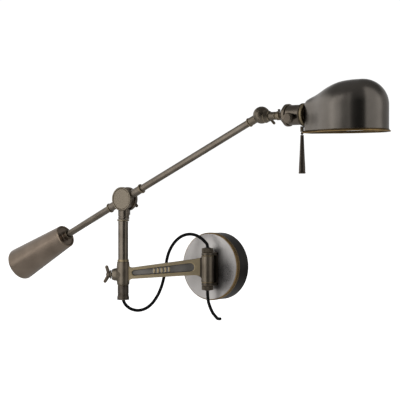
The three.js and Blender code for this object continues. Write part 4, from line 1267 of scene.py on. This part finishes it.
def make_shade():
    body = loose(shade_hull(0, RIM_Z + RIM_HEIGHT, 0.8), "shade_body")
    boolean(body, loose(shade_hull(SHADE_WALL, RIM_Z - 5), "shade_hollow"), "DIFFERENCE")
    bore = THROAT_RADIUS + 0.1
    hole = Build(HEAD).turned(cylinder(bore, HEEL_X - 2, HEEL_X + 4), "x", 0, 96)
    boolean(body, loose(hole, "shade_hole"), "DIFFERENCE")
    mesh = taken_mesh(body)
    finished(mesh, "shade_spun", "lamp", ["shade"], SHADE, 32)
    mesh.materials.append(INSIDE)
    inner_faces(mesh)


def inner_faces(mesh):
    """Gives the lining material to the faces that look into the shade."""
    axis_x = (HEAD.translation.x + NOSE_X) * MM
    axis_y = HEAD.translation.y * MM
    dome = (HEAD.translation.z + DOME_Z) * MM
    for face in mesh.polygons:
        c, n = face.center, face.normal
        inward = Vector((min(0, axis_x - c.x), axis_y - c.y, min(0, dome - c.z)))
        if inward.length > 1e-6 and n.dot(inward) > 0 and abs(n.x) < 0.995:
            face.material_index = 1


def make_rim():
    """A rolled bead with a short band above it, swept round the shade's plan."""
    half_plan = shade_profile(0, 18)
    plan = [(x, -half) for x, half in half_plan[:-1]] + half_plan[::-1]
    plan[len(half_plan) - 1] = (NOSE_X + NOSE_RADIUS, 0.0)
    rings = []
    half_heel = FLANK[0][1]
    outline = plan + [(HEEL_X, half_heel - half_heel * k / 6) for k in range(1, 12)]
    section = [(-SHADE_WALL, RIM_HEIGHT - GAP), (-SHADE_WALL, 0.4)]
    bead = [(1.5 + 1.7 * math.sin(a), 1.1 - 1.1 * math.cos(a)) for a in np.linspace(0, math.pi, 10)]
    section += [(-SHADE_WALL + 0.4, 0.0), (0.8, 0.0)] + bead
    section += [(1.2, 2.4), (0.9, 2.9), (0.9, RIM_HEIGHT - 0.7), (0.5, RIM_HEIGHT - GAP)]
    vertices, worn, grime_and_shade = [], [], []
    for offset, rise in section:
        rings.append(list(range(len(vertices), len(vertices) + len(outline))))
        ring = inset_outline(outline, -offset)
        vertices += [(x, y, RIM_Z + rise) for x, y in ring]
        worn += [0.8 if offset > 1.3 else 0.2] * len(ring)
        grime_and_shade += [0.6 if 2.3 < rise < 3.0 else 0.0] * len(ring)
    rim = Build(HEAD).shell(vertices, skin(rings + rings[:1]), worn, grime_and_shade)
    rim.object("shade_rim_rolled", "lamp", ["shade_rim"], "worn_brass", BAND, 60)


make_shade()
make_rim()


def make_lamp():
    profile = solid_ring(10.7, THROAT_RADIUS, HEEL_X + SHADE_WALL + GAP, HEEL_X + 5)
    ring = Build(HEAD).turned(profile, "x", 0.3, 120, flutes=(24, 0.4, 10.5))
    ring.object("shade_lock_ring_knurled", "lamp", ["shade_lock_ring"], "worn_brass", BRASS)
    outline = [
        (0, HEEL_X + 3), (6.4, HEEL_X + 3), (7.4, HEEL_X + 8), (11.5, HEEL_X + 16), (15.5, HEEL_X + 28),
        (16, HEEL_X + 36), (13.4, HEEL_X + 47), (8.4, HEEL_X + 54), (0, HEEL_X + 57),
    ]
    bulb = Build(HEAD).turned(outline, "x", 3.0, 72)
    bulb.object("bulb_glass_blown", "lamp", ["bulb_glass"], "bulb_glass", GLASS, 180)


make_lamp()


def make_handle():
    bracket = Build(HEAD)
    leaf = [(HANDLE_X - 2.1, -29.4), (HANDLE_X + 2.1, -29.4), (HANDLE_X + 2.1, -20), (HANDLE_X - 2.1, -20)]
    bracket.plate(leaf, -3, 3, axis="y", round_edge=0.7)
    low, high = SHELL_END - 0.9, SHELL_END + 4.1
    foot = [(low, -22), (high, -22), (high, -20), (low, -20)]
    bracket.plate(foot, -4, 4, axis="y", round_edge=0.5)
    bracket.object("handle_bracket_cast", "lamp", ["handle_bracket"], "bronze", DARK_BRONZE)
    top, bottom = -34.9, HANDLE_END
    profile = [
        (0, bottom), (5.2, bottom), (6.1, bottom + 0.8), (6.1, bottom + 1.8), (5.6, bottom + 2.6),
        (5.5, bottom + 10),
        (4.8, bottom + 24), (3.8, bottom + 44), (2.9, top), (0, top),
    ]
    handle = Build(HEAD).turned(profile, "z", 0.5, 64, at=(HANDLE_X, 0, 0))
    handle.object("aiming_handle_turned", "lamp", ["aiming_handle"], "dark_bronze", DARK_BRONZE)
    steps = [math.pi * k / 16 - math.pi / 2 for k in range(17)]
    profile = [(2.5 * math.cos(a), 2.5 * math.sin(a)) for a in steps]
    profile[0], profile[-1] = (0, -2.5), (0, 2.5)
    joint = Build(HEAD).turned(profile, "z", 0.0, 48, at=(HANDLE_X, 0, -32.1))
    joint.object("handle_joint_ball", "lamp", ["handle_joint"], "worn_brass", DARK_BRONZE)


make_handle()


# ---- the CAD nodes that stay ----
KEPT = {
    "wall_bar": STEEL, "canopy_screw_top": STEEL, "canopy_screw_bottom": STEEL, "yoke_nut": STEEL,
    "pivot_tube": STEEL, "pivot_bolt": STEEL, "counterweight_slug": STEEL, "bulb_base": STEEL,
    "clamp_pad": BRASS,
}
for node, material in KEPT.items():
    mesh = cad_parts[node].data
    mesh.materials.clear()
    mesh.materials.append(material)


# ---- studio ----
def make_world():
    """A light tent: pale where seen, bright to the left, dark in front, dim above, with a pale floor."""
    world = bpy.data.worlds.new("studio")
    bpy.context.scene.world = world
    n = Nodes(world)
    where = n.add("TexCoord").outputs["Generated"]
    around = n.add("TexGradient", gradient_type="RADIAL")
    n.link(where, around.inputs["Vector"])
    sides = n.ramp(
        around.outputs["Fac"], (0.00, 1.20), (0.09, 1.10), (0.14, 0.35), (0.20, 0.06), (0.28, 0.01),
        (0.43, 0.01), (0.50, 0.10), (0.54, 0.42), (0.68, 0.42), (0.85, 0.60), (1.00, 1.20),
    )
    height = n.add("SeparateXYZ")
    n.link(where, height.inputs["Vector"])
    rise = n.math("MULTIPLY", n.math("ADD", height.outputs["Z"], 1.0), 0.5)
    walls = n.ramp(
        rise, (0.0, 0.0), (0.36, 0.1), (0.46, 0.6), (0.50, 1.0), (0.70, 1.0), (0.80, 0.08), (1.0, 0.02)
    )
    floor_and_roof = n.ramp(
        rise, (0.0, 0.5), (0.25, 0.45), (0.36, 0.06), (0.5, 0.005), (0.66, 0.01), (0.80, 0.13), (1.0, 0.22)
    )
    tent = n.mix(1, n.mix(1, sides, walls, "MULTIPLY"), floor_and_roof, "ADD")
    seen = n.add("LightPath").outputs["Is Camera Ray"]
    n.link(n.mix(seen, tent, (1.05, 1.05, 1.05)), n.tree.nodes["Background"].inputs["Color"])


def make_panel(name, inner, outer, radiance):
    """An upright soft panel in front of the light, from one place across the view to another, in metres."""
    across = Vector((0.804, 0.595, 0))
    towards = Vector((0.595, -0.804, 0))
    low, high = -0.35, 0.85
    distance = 0.475
    middle = across * (inner + outer) / 2 + towards * distance
    middle.z = (low + high) / 2
    data = bpy.data.lights.new(name, "AREA")
    data.shape = "RECTANGLE"
    data.size, data.size_y = abs(outer - inner), high - low
    data.energy = radiance * 4 * data.size * data.size_y
    light = bpy.data.objects.new(name, data)
    light.location = middle
    light.rotation_euler = (-towards).to_track_quat("-Z", "Y").to_euler()
    light.visible_camera = False
    bpy.context.scene.collection.objects.link(light)


def make_floor():
    bpy.ops.mesh.primitive_plane_add(size=60, location=(0, 0, -0.55))
    floor = bpy.context.object
    floor.name = "floor"
    n = material_nodes("floor")
    n.shader.inputs["Base Color"].default_value = (0.9, 0.9, 0.9, 1)
    n.shader.inputs["Roughness"].default_value = 1.0
    n.shader.inputs["Emission Color"].default_value = (1, 1, 1, 1)
    n.shader.inputs["Emission Strength"].default_value = 1.0
    floor.data.materials.append(n.owner)
    floor.visible_glossy = False
    floor.visible_diffuse = False


make_world()
make_panel("left_panel", -0.253, -1.22, 1.15)
make_panel("far_left_panel", -1.5, -2.6, 1.3)
make_panel("right_panel", 0.238, 1.1, 0.52)
make_floor()
bpy.context.scene.view_settings.view_transform = "Standard"
